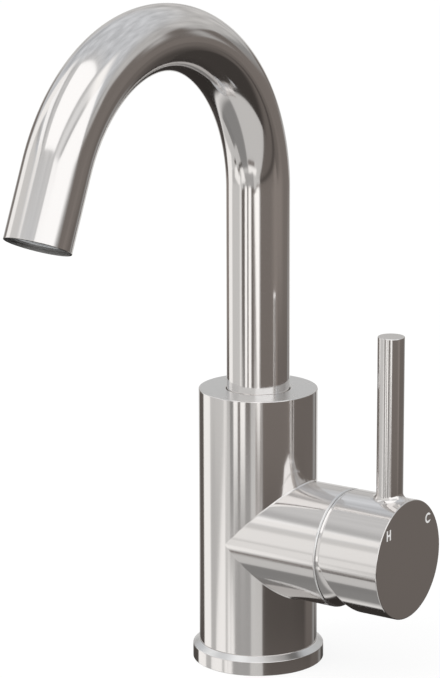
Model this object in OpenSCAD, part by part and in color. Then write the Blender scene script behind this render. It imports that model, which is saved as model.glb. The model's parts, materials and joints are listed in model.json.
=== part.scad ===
// Single-hole bathroom sink faucet with a swivelling arched spout and a side lever.
// Origin on the body's axis at the deck. +Z is up, the spout points to -Y and the lever is on +X.

/* [Body] */
// Diameter of the upright body
body_d = 48; // [46:0.5:54]
// Height of the body's top above the deck
body_h = 113.2; // [110:0.2:124]
// Wall of the body shell
shell_wall = 2.4; // [2.2:0.1:2.8]
// Thickness of the shell's flat top
shell_roof = 3.5; // [3:0.1:5]
// Chamfer on the polished outer edges
edge_chamfer = 0.4; // [0.2:0.05:0.6]
// Running gap between the spout tube and the hole it turns in
collar_gap = 0.3; // [0.2:0.05:0.9]

/* [Base ring] */
// How far the ring stands out from the body
base_flare = 2.7; // [2:0.1:4]
// Height of the ring's upright edge
base_wall_h = 5.75; // [5:0.05:6.5]
// Full height of the ring with its sloped top
base_h = 7.5; // [7:0.1:9]
// Height of the ledge that the shell stands on
base_ledge_h = 3; // [2.6:0.1:4]
// Thickness of the deck gasket
gasket_t = 1.6; // [1.2:0.1:2]
// Width of the deck gasket
gasket_w = 3.8; // [3:0.1:4.2]

/* [Side branch] */
// Height of the branch's axis above the deck
branch_z = 53.2; // [51:0.2:57]
// Distance from the body's axis to the end of the branch
branch_reach = 43; // [42:0.5:47]
// Wall of the branch round the bonnet nut
branch_wall = 3.8; // [3.2:0.1:4.4]

/* [Spout] */
// Outside diameter of the spout tube, a one inch tube
tube_d = 25.4; // [24:0.1:26]
// Wall of the spout tube
tube_wall = 1; // [0.8:0.1:1.2]
// Straight length of tube above the body
tube_rise = 81.1; // [70:0.1:120]
// Radius of the arch at the tube's centre
arch_r = 66.9; // [50:0.1:90]
// Angle that the arch turns through
arch_bend = 156.5; // [140:0.5:176]
// Straight length of tube at the outlet
outlet_leg = 29.6; // [24:0.1:40]
// How much the tube draws in where it is bent
bend_draw = 0.03; // [0.02:0.01:0.1]

/* [Handle] */
// Gap between the branch and the hub above the axis
hub_gap = 1.1; // [1.1:0.1:1.8]
// Length of the hub
hub_length = 27.4; // [26:0.1:31]
// Thickness of the hub's solid end
hub_end_t = 15.5; // [14.4:0.1:16]
// Diameter of the lever
lever_d = 10.7; // [9:0.1:12]
// Height of the lever above the hub
lever_rise = 65.2; // [50:0.1:80]
// Distance from the hub's face to the lever's axis
lever_inset = 8.9; // [8:0.1:9.8]
// Radius of the fillet at the lever's root
lever_fillet = 2.6; // [1.5:0.1:3]
// Tilt of the lever from closed to fully open
tilt_max = 25; // [20:1:25]
// Turn of the lever to each side, from mixed to hot or cold
temperature_max = 45; // [35:1:50]
// Height of the hot and cold marks
mark_h = 4.25; // [3.5:0.05:5]
// Radius at which the marks sit on the hub's face
mark_place_r = 20.1; // [18.5:0.1:20.4]
// Angle of each mark from the lever
mark_angle = 47.5; // [40:0.5:60]

/* [Cartridge] */
// How far the bonnet nut stands out from the cartridge that it clamps
nut_step = 2.8; // [2.4:0.1:3.2]
// Distance from the lever's pivot back to the branch's end
pivot_back = 7; // [6.6:0.1:7.6]
// Diameter of the stem that the hub grips
stem_d = 8; // [7:0.1:8.6]
// Length of the stem's short arm, from the pivot to its ball
stem_arm = 6.8; // [6.6:0.1:7]
// Diameter of the stem's ball
ball_d = 5.4; // [5:0.1:5.6]
// Thickness of each ceramic disc
disc_t = 3; // [2.6:0.1:3.4]
// Thickness of the cartridge's base
cartridge_base_t = 5.5; // [5:0.1:6]
// Thickness of the disc carrier
carrier_t = 5.5; // [5.4:0.1:6]

/* [Fixings] */
// Wall of the block outside each stud hole
stud_margin = 3.6; // [2.6:0.1:4.4]
// Tapped diameter of a stud hole, for a 6 mm thread
stud_hole_d = 5; // [4.2:0.1:6]
// Tapped diameter of an inlet, for a 10 mm fine thread
inlet_d = 9; // [8:0.1:10]
// Wall between the two inlets
inlet_gap = 5; // [4:0.1:7]
// Diameter of the two grub screws
grub_d = 5; // [4:0.1:5]

/* [Hidden] */
$fn = 96;
// Overrun of every cut past its face
over = 0.5;
// Radial clearance of a turning or sliding fit
run_fit = 0.06;
// Radial clearance of parts that are pushed or screwed together
push_fit = 0.03;
// Clearance between faces that pass each other
pass_gap = 0.3;
// Gap between stacked parts of one body
stack_gap = 0.1;

// Body, block and what holds the block
body_r = body_d / 2;
bore_r = body_r - shell_wall;
block_gap = 0.1;
block_r = bore_r - block_gap;
spigot_step = 1.9;
spigot_r = block_r - spigot_step;
ring_bore_r = spigot_r + 4 * block_gap;
clip_rise = 0.5;
clip_t = 1.5;
clip_bite = 0.9;
clip_z = base_h + clip_rise;
clip_r = bore_r + clip_bite;
clip_w = 2.2;
clip_hole_d = 0.9;
clip_hole_gap = 2;
clip_opening = 7;
block_top = body_h - shell_roof;
foot_h = 14.5;
foot_top = clip_z + clip_t + foot_h;
drum_margin = 4;
waist_cut = 7;
waist_r = block_r - waist_cut;

// Base ring
base_r = body_r + base_flare;
gasket_out_r = base_r - edge_chamfer - gasket_t / 2;
gasket_in_r = gasket_out_r - gasket_w;

// Cartridge, measured along the branch from its seat
cartridge_r = body_r - branch_wall - nut_step;
disc_film = 0.02;
pivot_rise = 4.7;
pivot_x = branch_reach - pivot_back;
turret_x = pivot_x - pivot_rise;
carrier_x = turret_x - pass_gap - carrier_t;
moving_x = carrier_x - disc_t;
fixed_x = moving_x - disc_film - disc_t;
seat_x = fixed_x - cartridge_base_t;
housing_wall = 2.4;
housing_bore_r = cartridge_r - housing_wall;
fixed_disc_r = housing_bore_r - push_fit;
travel_room = 3.6;
carrier_r = housing_bore_r - travel_room;
disc_inset = 0.4;
moving_disc_r = carrier_r - disc_inset;
turret_t = 9.7;
turret_flange_t = 1.7;
turret_flange_r = housing_bore_r - run_fit;
turret_step = 0.85;
neck_bore_r = housing_bore_r - turret_step;
turret_r = neck_bore_r - run_fit;
neck_wall = 2.2;
neck_r = neck_bore_r + neck_wall;
neck_len = 5.4;
shoulder_x = turret_x + turret_flange_t + stack_gap;
neck_end_x = shoulder_x + neck_len;
turret_end_x = turret_x + turret_t;
stop_t = turret_end_x - neck_end_x;
stop_depth = 1.6;
stop_lug_angle = 12;
stop_slack = 1;
seat_bore_r = cartridge_r + 2 * stack_gap;
nut_r = cartridge_r + nut_step;
nut_bore_r = nut_r + push_fit;
nut_inner_r = neck_r + 2 * stack_gap;
nut_notches = 6;
notch_w = 4;
notch_depth = 2.5;
skirt_len = 1.8;
nut_end_x = branch_reach - skirt_len - stack_gap;
pin_d = 3;
pin_len = 24;
slot_half = stem_d / 2 + stack_gap;
slot_reach = stem_d / 2 / cos(tilt_max) + (turret_end_x - pivot_x) * tan(tilt_max) + pass_gap;
arm_d = 4;
ball_x = pivot_x - stem_arm;
ball_bore_r = ball_d / 2 + pass_gap;
ball_floor = 0.8;
stem_shank = 3;
stem_neck_x = pivot_x - stem_shank;

// Ports, as height above the branch's axis and distance to each side
port_up_share = 0.345;
port_side_share = 0.636;
port_share = 0.227;
outlet_down_share = 0.655;
outlet_port_share = 0.273;
port_up = moving_disc_r * port_up_share;
port_y = moving_disc_r * port_side_share;
port_r = moving_disc_r * port_share;
outlet_drop = moving_disc_r * outlet_down_share;
outlet_port_r = moving_disc_r * outlet_port_share;
seal_w = 1.3;
seal_t = 1.2;
peg_r = 2;
peg_len = 3;
peg_side_share = 0.66;
peg_down_share = 0.46;
peg_y = cartridge_r * peg_side_share;
peg_drop = cartridge_r * peg_down_share;
chamber_wall = 1.6;
chamber_r = moving_disc_r - chamber_wall;
chamber_top_share = 0.08;
chamber_top = moving_disc_r * chamber_top_share;
chamber_depth = 1.4;
carrier_peg_r = 1.2;
carrier_peg_len = 1.2;
carrier_peg_side_share = 0.455;
carrier_peg_up_share = 0.59;
carrier_peg_y = moving_disc_r * carrier_peg_side_share;
carrier_peg_up = moving_disc_r * carrier_peg_up_share;

// Domed cover over the cartridge, and the hub's cavity round it, both centred on the pivot
dome_swell = 0.3;
dome_r = body_r + dome_swell;
dome_len = 5;
dome_front_x = branch_reach + dome_len;
dome_wall = 1.5;
cavity_r = dome_r + pass_gap;
hub_x = branch_reach + hub_gap;
hub_end_x = hub_x + hub_length;
cavity_floor_x = hub_end_x - hub_end_t;
stem_hole_r = stem_d / 2 / cos(tilt_max) + (dome_front_x - pivot_x) * tan(tilt_max) + 2 * pass_gap;
stem_grip = 8.5;
stem_end_x = cavity_floor_x + stem_grip;
set_screw_x = cavity_floor_x + stem_grip / 2;
set_screw_len = 8;
cap_len = 3;
cap_sink = 0.4;
grub_r = grub_d / 2;
key_r = 1.45;
key_depth = 2.5;
lever_r = lever_d / 2;
lever_x = hub_end_x - lever_inset;
lever_root = body_r / 2;
root_r = lever_r + lever_fillet;
root_drop = body_r - sqrt(body_r * body_r - root_r * root_r);
mark_depth = 0.3;
mark_stroke = 0.85;
mark_gap = 0.02;
h_width_share = 0.72;
c_cut_share = 0.36;
c_mouth_share = 0.5;

// Waterways in the block
stud_depth = 12;
stud_x = spigot_r - stud_margin - stud_hole_d / 2;
inlet_depth = 11;
inlet_y = (inlet_gap + inlet_d) / 2;

// Spout socket and what lies in it
bushing_h = 10.6;
bushing_wall = 1;
washer_t = 1;
tube_r = tube_d / 2;
tube_bore_r = tube_r - tube_wall;
bushing_in_r = tube_r + run_fit;
bushing_out_r = bushing_in_r + bushing_wall;
pocket_r = bushing_out_r + push_fit;
pocket_z = block_top - stack_gap - bushing_h - washer_t;
tube_z = pocket_z + washer_t;
nipple_step = 1.76;
nipple_r = tube_bore_r - nipple_step;
socket_r = nipple_r + run_fit;
riser_r = 3.8;
riser_inset = 0.2;
riser_x = riser_inset + riser_r - socket_r;
socket_depth = 15;
socket_z = pocket_z - socket_depth;
nipple_wall = 3.9;
nipple_bore_r = nipple_r - nipple_wall;
nipple_len = 10;
nipple_tip_gap = 0.5;
ring_section_r = 1.1;
ring_groove_w = 2.6;
ring_reach_r = nipple_r + push_fit;
ring_centre_r = ring_reach_r - ring_section_r;
ring_groove_r = ring_centre_r - ring_section_r - disc_film;
ring_low = 3.3;
ring_high = 12.7;
screw_up = 8;
screw_groove_depth = 2;
screw_groove_r = nipple_r - screw_groove_depth;
screw_tip_r = 1.5;
screw_tip_gap = 0.4;
screw_sink = 2.6;

// Arch and outlet
arch_z = body_h + tube_rise;
bend_lap = 1;
rim_chamfer = 0.3;
outlet_bush_r = tube_bore_r - push_fit;
outlet_bush_wall = 1.1;
outlet_bush_len = 13;
outlet_recess = 1.2;
thread_r = outlet_bush_r - outlet_bush_wall;
aerator_r = thread_r - push_fit;
aerator_wall = 1.2;
aerator_recess = 2;
aerator_len = 9.2;
aerator_bore_r = aerator_r - aerator_wall;
insert_r = aerator_bore_r - push_fit;
grille_t = 1.6;
grille_lip = 0.7;
grille_pitch = 2.7;
grille_cell_r = 1.25;
grille_rings = 3;
jet_t = 3.4;
jet_count = 12;
jet_r = 0.8;
jet_place_share = 0.62;
screen_t = 0.6;
screen_cell_r = 0.75;
screen_pitch = 2;
screen_rings = 3;
aerator_gasket_t = 1.6;
aerator_gasket_w = 2;
bush_lip = 2.2;

// Places its children on the branch's axis at x, with their own Z along the branch.
// Their own -X then points up, so a place is written [-up, side].
module along_branch(x) {
    translate([x, 0, branch_z]) rotate([0, 90, 0]) children();
}

// Places its children at the end of the arch, with their own Z along the flow.
module at_leg() {
    translate([0, -arch_r, arch_z]) rotate([90, 0, 90]) rotate(arch_bend)
        translate([arch_r, 0, 0]) rotate([-90, 0, 0]) children();
}

// Places its children in the outlet, below the tube's rim by depth.
module in_outlet(depth) {
    at_leg() translate([0, 0, outlet_leg - depth]) children();
}

// Places its flat children on the hub's face, turned upright, at an angle from the lever.
module on_hub_face(side) {
    translate([hub_end_x, side * mark_place_r * sin(mark_angle),
               branch_z + mark_place_r * cos(mark_angle)])
        rotate([90, 0, 90]) children();
}

module plain_ring(outer_r, inner_r, h) {
    difference() {
        cylinder(r = outer_r, h = h);
        translate([0, 0, -over]) cylinder(r = inner_r, h = h + 2 * over);
    }
}

// A cylinder whose far edge is chamfered.
module edged_cylinder(r, h, edge) {
    cylinder(r = r, h = h - edge);
    translate([0, 0, h - edge]) cylinder(r1 = r, r2 = r - edge, h = edge);
}

// The three ports of the cartridge, each as a cylinder wider by extra.
module ports(extra, h) {
    for (side = [-1, 1])
        translate([-port_up, side * port_y, 0]) cylinder(r = port_r + extra, h = h);
    translate([outlet_drop, 0, 0]) cylinder(r = outlet_port_r + extra, h = h);
}

module port_rings(h) {
    difference() {
        ports(seal_w, h);
        translate([0, 0, -over]) ports(0, h + 2 * over);
    }
}

// Points of a hexagonal pattern with the given pitch and number of rings.
function hex_points(pitch, rings) = [
    for (row = [-rings:rings])
        for (column = [-rings:rings])
            if (abs(row + column) <= rings)
                [pitch * (column + row / 2), pitch * row * sqrt(3) / 2]
];

module hex_plate(r, t, pitch, rings, cell_r) {
    difference() {
        cylinder(r = r, h = t);
        for (p = hex_points(pitch, rings))
            translate([p[0], p[1], -over]) rotate(30) cylinder(r = cell_r, h = t + 2 * over, $fn = 6);
    }
}

// A grub screw along Z with its key socket at the low end and a dog point at the high end.
module grub_screw(len, tip_r, tip_len) {
    difference() {
        cylinder(r = grub_r - push_fit, h = len);
        translate([0, 0, -over]) cylinder(r = key_r, h = key_depth + over, $fn = 6);
    }
    translate([0, 0, len]) cylinder(r = tip_r, h = tip_len);
}

module base_gasket() {
    color("dimgray") plain_ring(gasket_out_r, gasket_in_r, gasket_t);
}

module base_ring() {
    color("silver") difference() {
        rotate_extrude() polygon([
            [ring_bore_r, 0], [base_r, 0], [base_r, base_wall_h],
            [body_r + edge_chamfer, base_h], [body_r + push_fit, base_h],
            [body_r + push_fit, base_ledge_h], [ring_bore_r, base_ledge_h]
        ]);
        translate([0, 0, -over])
            plain_ring(gasket_out_r + push_fit, gasket_in_r - push_fit, gasket_t + over);
    }
}

module body_shell() {
    color("silver") difference() {
        union() {
            translate([0, 0, base_ledge_h]) edged_cylinder(body_r, body_h - base_ledge_h, edge_chamfer);
            along_branch(0) cylinder(r = body_r, h = branch_reach);
        }
        translate([0, 0, base_ledge_h - over]) cylinder(r = bore_r, h = block_top - base_ledge_h + over);
        translate([0, 0, block_top - over]) cylinder(r = tube_r + collar_gap, h = shell_roof + 2 * over);
        translate([0, 0, body_h - edge_chamfer])
            cylinder(r1 = tube_r + collar_gap, r2 = tube_r + collar_gap + edge_chamfer + over,
                     h = edge_chamfer + over);
        translate([0, 0, clip_z - push_fit]) cylinder(r = clip_r + block_gap, h = clip_t + 2 * push_fit);
        along_branch(seat_x) cylinder(r = seat_bore_r, h = branch_reach - seat_x);
        along_branch(shoulder_x) cylinder(r = nut_bore_r, h = branch_reach - shoulder_x + over);
        translate([0, 0, socket_z + screw_up]) rotate([-90, 0, 0]) cylinder(r = grub_r, h = body_r + over);
    }
}

module block_outside() {
    cylinder(r = spigot_r, h = foot_top);
    translate([0, 0, clip_z + clip_t]) cylinder(r = block_r, h = foot_h);
    cylinder(r = waist_r, h = socket_z);
    translate([0, 0, branch_z - cartridge_r - drum_margin])
        cylinder(r = block_r, h = 2 * (cartridge_r + drum_margin));
    translate([0, 0, socket_z - drum_margin / 2])
        cylinder(r = block_r, h = block_top - socket_z + drum_margin / 2);
}

module block_waterways() {
    for (side = [-1, 1]) {
        translate([0, side * inlet_y, -over]) cylinder(r = inlet_d / 2, h = inlet_depth + over);
        translate([0, side * port_y, -over]) cylinder(r = port_r, h = branch_z + port_up + over);
    }
    translate([riser_x, 0, branch_z - outlet_drop])
        cylinder(r = riser_r, h = socket_z - branch_z + outlet_drop + over);
    along_branch(riser_x) translate([outlet_drop, 0, 0])
        cylinder(r = outlet_port_r, h = seat_x - riser_x + over);
    along_branch(0)
        for (side = [-1, 1])
            translate([-port_up, side * port_y, 0]) cylinder(r = port_r, h = seat_x + over);
}

module valve_block() {
    color("goldenrod") difference() {
        block_outside();
        block_waterways();
        along_branch(seat_x) cylinder(r = seat_bore_r, h = body_r);
        along_branch(seat_x - peg_len)
            for (side = [-1, 1])
                translate([peg_drop, side * peg_y, -stack_gap]) cylinder(r = peg_r + push_fit, h = peg_len + over);
        for (side = [-1, 1])
            translate([side * stud_x, 0, -over]) cylinder(r = stud_hole_d / 2, h = stud_depth + over);
        translate([0, 0, socket_z]) cylinder(r = socket_r, h = socket_depth + over);
        translate([0, 0, pocket_z]) cylinder(r = pocket_r, h = block_top - pocket_z + over);
        translate([0, 0, socket_z + screw_up]) rotate([-90, 0, 0]) cylinder(r = grub_r, h = body_r);
    }
}

// A spring ring with an opening in front and a small plier hole at each end.
module block_clip() {
    middle_r = clip_r - clip_w / 2;
    hole_angle = asin((clip_opening / 2 + clip_hole_gap) / middle_r);
    color("gray") translate([0, 0, clip_z]) difference() {
        plain_ring(clip_r, clip_r - clip_w, clip_t);
        translate([-clip_opening / 2, -clip_r - over, -over])
            cube([clip_opening, clip_r + over, clip_t + 2 * over]);
        for (side = [-1, 1])
            rotate(-90 + side * hole_angle) translate([middle_r, 0, -over])
                cylinder(r = clip_hole_d / 2, h = clip_t + 2 * over);
    }
}

module spout_bushing() {
    color("ivory") translate([0, 0, tube_z]) plain_ring(bushing_out_r, bushing_in_r, bushing_h);
}

module spout_thrust_washer() {
    color("ivory") translate([0, 0, pocket_z]) plain_ring(bushing_out_r, socket_r + push_fit, washer_t);
}

module spout_retaining_screw() {
    tip_y = screw_groove_r + screw_tip_gap;
    tip_len = socket_r + stack_gap - tip_y;
    outer_y = body_r - screw_sink;
    color("gray") translate([0, outer_y, socket_z + screw_up]) rotate([90, 0, 0])
        grub_screw(outer_y - tip_y - tip_len, screw_tip_r, tip_len);
}

module cartridge_base() {
    color("white") difference() {
        union() {
            along_branch(seat_x) cylinder(r = cartridge_r, h = cartridge_base_t);
            along_branch(seat_x - peg_len)
                for (side = [-1, 1])
                    translate([peg_drop, side * peg_y, 0]) cylinder(r = peg_r, h = peg_len + over);
        }
        along_branch(seat_x - over) ports(0, cartridge_base_t + 2 * over);
        along_branch(seat_x - over) ports(seal_w, seal_t + over);
        along_branch(fixed_x - seal_t) ports(seal_w, seal_t + over);
    }
}

module cartridge_seat_seals() {
    color("black") along_branch(seat_x) port_rings(seal_t);
}

module disc_seals() {
    color("black") along_branch(fixed_x - seal_t) port_rings(seal_t);
}

module fixed_disc() {
    color("gainsboro") difference() {
        along_branch(fixed_x) cylinder(r = fixed_disc_r, h = disc_t);
        along_branch(fixed_x - over) ports(0, disc_t + 2 * over);
    }
}

module moving_disc() {
    color("gainsboro") along_branch(moving_x) difference() {
        cylinder(r = moving_disc_r, h = disc_t);
        intersection() {
            translate([0, 0, -over]) cylinder(r = chamber_r, h = chamber_depth + over);
            translate([-chamber_top, -chamber_r - over, -2 * over])
                cube([chamber_r + chamber_top + over, 2 * (chamber_r + over), chamber_depth + 3 * over]);
        }
        for (side = [-1, 1])
            translate([-carrier_peg_up, side * carrier_peg_y, disc_t - carrier_peg_len - stack_gap])
                cylinder(r = carrier_peg_r + push_fit, h = carrier_peg_len + over);
    }
}

module disc_carrier() {
    color("white") along_branch(carrier_x) {
        difference() {
            cylinder(r = carrier_r, h = carrier_t);
            translate([0, 0, ball_floor]) cylinder(r = ball_bore_r, h = carrier_t);
        }
        for (side = [-1, 1])
            translate([-carrier_peg_up, side * carrier_peg_y, -carrier_peg_len])
                cylinder(r = carrier_peg_r, h = carrier_peg_len + over);
    }
}

module cartridge_housing() {
    color("white") difference() {
        union() {
            along_branch(fixed_x) cylinder(r = cartridge_r, h = shoulder_x - fixed_x);
            along_branch(shoulder_x) cylinder(r = neck_r, h = neck_len);
        }
        along_branch(fixed_x - over) cylinder(r = housing_bore_r, h = shoulder_x - fixed_x + over);
        along_branch(shoulder_x - over) cylinder(r = neck_bore_r, h = neck_len + 2 * over);
    }
}

// Two lugs reach in from the ring on the left and right, and stop the turret's grooves.
module temperature_stop_ring() {
    color("red") along_branch(neck_end_x) {
        plain_ring(neck_r, turret_r + stack_gap, stop_t);
        for (side = [-1, 1])
            rotate(side * 90 - stop_lug_angle / 2)
                rotate_extrude(angle = stop_lug_angle)
                    translate([turret_r - stop_depth + pass_gap, 0])
                        square([stop_depth + stack_gap, stop_t]);
    }
}

module cartridge_turret() {
    groove_angle = 2 * (temperature_max + stop_slack) + stop_lug_angle;
    color("dimgray") difference() {
        union() {
            along_branch(turret_x) cylinder(r = turret_r, h = turret_t);
            along_branch(turret_x) cylinder(r = turret_flange_r, h = turret_flange_t);
        }
        along_branch(turret_x - over)
            translate([-slot_reach, -slot_half, 0]) cube([2 * slot_reach, 2 * slot_half, turret_t + 2 * over]);
        along_branch(neck_end_x - stack_gap)
            for (side = [-1, 1])
                rotate(side * 90 - groove_angle / 2)
                    rotate_extrude(angle = groove_angle)
                        translate([turret_r - stop_depth, 0]) square([stop_depth + over, stop_t + 2 * over]);
        translate([pivot_x, -turret_r - over, branch_z])
            rotate([-90, 0, 0]) cylinder(r = pin_d / 2 + disc_film, h = 2 * (turret_r + over));
    }
}

module pivot_pin() {
    color("lightgray") translate([pivot_x, -pin_len / 2, branch_z])
        rotate([-90, 0, 0]) cylinder(r = pin_d / 2, h = pin_len);
}

module stem() {
    color("lightgray") difference() {
        union() {
            along_branch(stem_neck_x) cylinder(r = stem_d / 2, h = stem_end_x - stem_neck_x);
            along_branch(ball_x) cylinder(r = arm_d / 2, h = pivot_x - ball_x);
            along_branch(ball_x) sphere(r = ball_d / 2);
        }
        translate([pivot_x, -stem_d / 2 - over, branch_z])
            rotate([-90, 0, 0]) cylinder(r = pin_d / 2 + push_fit, h = stem_d + 2 * over);
    }
}

module bonnet_nut() {
    nut_len = nut_end_x - shoulder_x;
    color("goldenrod") difference() {
        along_branch(shoulder_x) plain_ring(nut_r, nut_inner_r, nut_len);
        along_branch(nut_end_x - notch_depth)
            for (i = [0:nut_notches - 1])
                rotate(i * 360 / nut_notches) translate([nut_inner_r - over, -notch_w / 2, 0])
                    cube([nut_r - nut_inner_r + 2 * over, notch_w, notch_depth + over]);
    }
}

module bonnet_cover() {
    color("silver") difference() {
        union() {
            along_branch(branch_reach - skirt_len) cylinder(r = nut_r, h = skirt_len + over);
            intersection() {
                along_branch(pivot_x) sphere(r = dome_r);
                along_branch(branch_reach) cylinder(r = body_r, h = dome_len);
            }
        }
        along_branch(branch_reach - skirt_len - over)
            cylinder(r = nut_r - dome_wall, h = skirt_len + dome_len - dome_wall + over);
        along_branch(branch_reach) cylinder(r = stem_hole_r, h = dome_len + over);
    }
}

// The fillet at the lever's root, a concave flare that runs down into the round hub.
module lever_root_flare() {
    translate([lever_x, 0, branch_z + body_r - root_drop]) rotate_extrude() difference() {
        square([root_r, root_drop + lever_fillet]);
        translate([root_r, root_drop + lever_fillet]) circle(r = lever_fillet);
    }
}

module handle_outside() {
    along_branch(hub_x) edged_cylinder(body_r, hub_length, edge_chamfer);
    translate([lever_x, 0, branch_z + lever_root])
        edged_cylinder(lever_r, body_r - lever_root + lever_rise, edge_chamfer);
    lever_root_flare();
}

// The room below the hub's axis that lets the lever tilt until the sloped face stands upright.
module tilt_wedge() {
    translate([hub_x, -body_r - over, branch_z]) rotate([0, -tilt_max, 0])
        translate([-body_d, 0, -2 * body_d]) cube([body_d, body_d + 2 * over, 2 * body_d]);
}

module hub_cavity() {
    intersection() {
        along_branch(pivot_x) sphere(r = cavity_r);
        along_branch(hub_x - body_r) cylinder(r = cavity_r + over, h = cavity_floor_x - hub_x + body_r);
    }
}

module handle() {
    color("silver") difference() {
        handle_outside();
        tilt_wedge();
        hub_cavity();
        along_branch(cavity_floor_x - over)
            cylinder(r = stem_d / 2 + push_fit, h = stem_grip + stack_gap + over);
        translate([set_screw_x, 0, branch_z - body_r - over]) cylinder(r = grub_r, h = body_r + over);
        on_hub_face(-1) translate([0, 0, -mark_depth])
            linear_extrude(mark_depth + over) letter_h(mark_gap);
        on_hub_face(1) translate([0, 0, -mark_depth])
            linear_extrude(mark_depth + over) letter_c(mark_gap);
    }
}

module handle_set_screw() {
    color("gray") translate([set_screw_x, 0, branch_z - stem_d / 2 - set_screw_len])
        grub_screw(set_screw_len - push_fit, grub_r / 2, push_fit);
}

module set_screw_cap() {
    color("silver") translate([set_screw_x, 0, branch_z - body_r + cap_sink])
        cylinder(r = grub_r - push_fit, h = cap_len);
}

// An H of two bars and a crossbar, each edge moved out by grow.
module letter_h(grow) {
    w = mark_h * h_width_share;
    bar = mark_stroke + 2 * grow;
    for (x = [-w / 2, w / 2 - mark_stroke])
        translate([x - grow, -mark_h / 2 - grow]) square([bar, mark_h + 2 * grow]);
    translate([-w / 2, -bar / 2]) square([w, bar]);
}

// A C, cut from a circle with its mouth to the right, each edge moved out by grow.
module letter_c(grow) {
    r = mark_h / 2;
    difference() {
        circle(r = r + grow);
        circle(r = r - mark_stroke - grow);
        translate([r * c_cut_share + grow, -r * c_mouth_share + grow])
            square([r + over, 2 * (r * c_mouth_share - grow)]);
    }
}

module hot_mark() {
    color("white") on_hub_face(-1) translate([0, 0, -mark_depth])
        linear_extrude(mark_depth - mark_gap) letter_h(0);
}

module cold_mark() {
    color("white") on_hub_face(1) translate([0, 0, -mark_depth])
        linear_extrude(mark_depth - mark_gap) letter_c(0);
}

// The spout's path as a solid of radius r: upright, arch and outlet leg. The arch is drawn in
// a little, so the straight lengths lap over its ends.
module spout_path(r, low, high) {
    translate([0, 0, tube_z - low]) cylinder(r = r, h = arch_z - tube_z + low + bend_lap);
    translate([0, -arch_r, arch_z]) rotate([90, 0, 90])
        rotate_extrude(angle = arch_bend) translate([arch_r, 0]) circle(r = r - bend_draw);
    at_leg() translate([0, 0, -bend_lap]) cylinder(r = r, h = outlet_leg + bend_lap + high);
}

module spout_tube() {
    color("silver") difference() {
        spout_path(tube_r, 0, 0);
        spout_path(tube_bore_r, over, over);
        in_outlet(rim_chamfer)
            cylinder(r1 = tube_bore_r, r2 = tube_bore_r + rim_chamfer + over, h = rim_chamfer + over);
    }
}

module spout_nipple() {
    low = socket_z + nipple_tip_gap;
    color("goldenrod") difference() {
        union() {
            translate([0, 0, low]) cylinder(r = nipple_r, h = tube_z - low);
            translate([0, 0, tube_z]) cylinder(r = tube_bore_r - push_fit, h = nipple_len);
        }
        translate([0, 0, low - over]) cylinder(r = nipple_bore_r, h = nipple_len + tube_z - low + 2 * over);
        for (up = [ring_low, ring_high])
            translate([0, 0, socket_z + up - ring_groove_w / 2])
                plain_ring(nipple_r + over, ring_groove_r, ring_groove_w);
        translate([0, 0, socket_z + screw_up - screw_tip_r - pass_gap])
            plain_ring(nipple_r + over, screw_groove_r, 2 * (screw_tip_r + pass_gap));
    }
}

module spout_o_rings() {
    color("black")
        for (up = [ring_low, ring_high])
            translate([0, 0, socket_z + up])
                rotate_extrude() translate([ring_centre_r, 0]) circle(r = ring_section_r);
}

module outlet_bush() {
    color("goldenrod") in_outlet(outlet_recess + outlet_bush_len) difference() {
        cylinder(r = outlet_bush_r, h = outlet_bush_len);
        translate([0, 0, -over]) cylinder(r = thread_r - aerator_gasket_w, h = outlet_bush_len);
        translate([0, 0, bush_lip]) cylinder(r = thread_r, h = outlet_bush_len);
    }
}

module aerator_gasket() {
    gasket_depth = outlet_recess + outlet_bush_len - bush_lip;
    color("black") in_outlet(gasket_depth)
        plain_ring(aerator_r, aerator_r - aerator_gasket_w, aerator_gasket_t);
}

// The threaded aerator cup, with a lip inside its outlet that holds the grille.
module aerator_housing() {
    color("gainsboro") in_outlet(aerator_recess) rotate([180, 0, 0]) difference() {
        cylinder(r = aerator_r, h = aerator_len - aerator_recess + outlet_recess);
        translate([0, 0, -over]) cylinder(r = aerator_bore_r - grille_lip, h = aerator_len);
        translate([0, 0, grille_lip]) cylinder(r = aerator_bore_r, h = aerator_len);
    }
}

module aerator_grille() {
    color("whitesmoke") in_outlet(aerator_recess + grille_lip + grille_t)
        hex_plate(insert_r, grille_t, grille_pitch, grille_rings, grille_cell_r);
}

module aerator_jet_former() {
    color("lightgreen") in_outlet(aerator_recess + grille_lip + grille_t + jet_t) difference() {
        cylinder(r = insert_r, h = jet_t);
        for (i = [0:jet_count - 1])
            rotate(i * 360 / jet_count) translate([insert_r * jet_place_share, 0, -over])
                cylinder(r = jet_r, h = jet_t + 2 * over);
    }
}

module aerator_screen() {
    color("lightgray") in_outlet(aerator_recess + grille_lip + grille_t + jet_t + screen_t)
        hex_plate(insert_r, screen_t, screen_pitch, screen_rings, screen_cell_r);
}

base_gasket();
base_ring();
body_shell();
valve_block();
block_clip();
spout_bushing();
spout_thrust_washer();
spout_retaining_screw();
cartridge_base();
cartridge_seat_seals();
disc_seals();
fixed_disc();
cartridge_housing();
temperature_stop_ring();
bonnet_nut();
bonnet_cover();
spout_tube();
spout_nipple();
spout_o_rings();
outlet_bush();
aerator_gasket();
aerator_housing();
aerator_grille();
aerator_jet_former();
aerator_screen();
cartridge_turret();
pivot_pin();
stem();
handle();
handle_set_screw();
set_screw_cap();
hot_mark();
cold_mark();
disc_carrier();
moving_disc();
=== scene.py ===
"""The looks of a single-hole bathroom sink faucet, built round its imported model. Lengths are in metres."""

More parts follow.
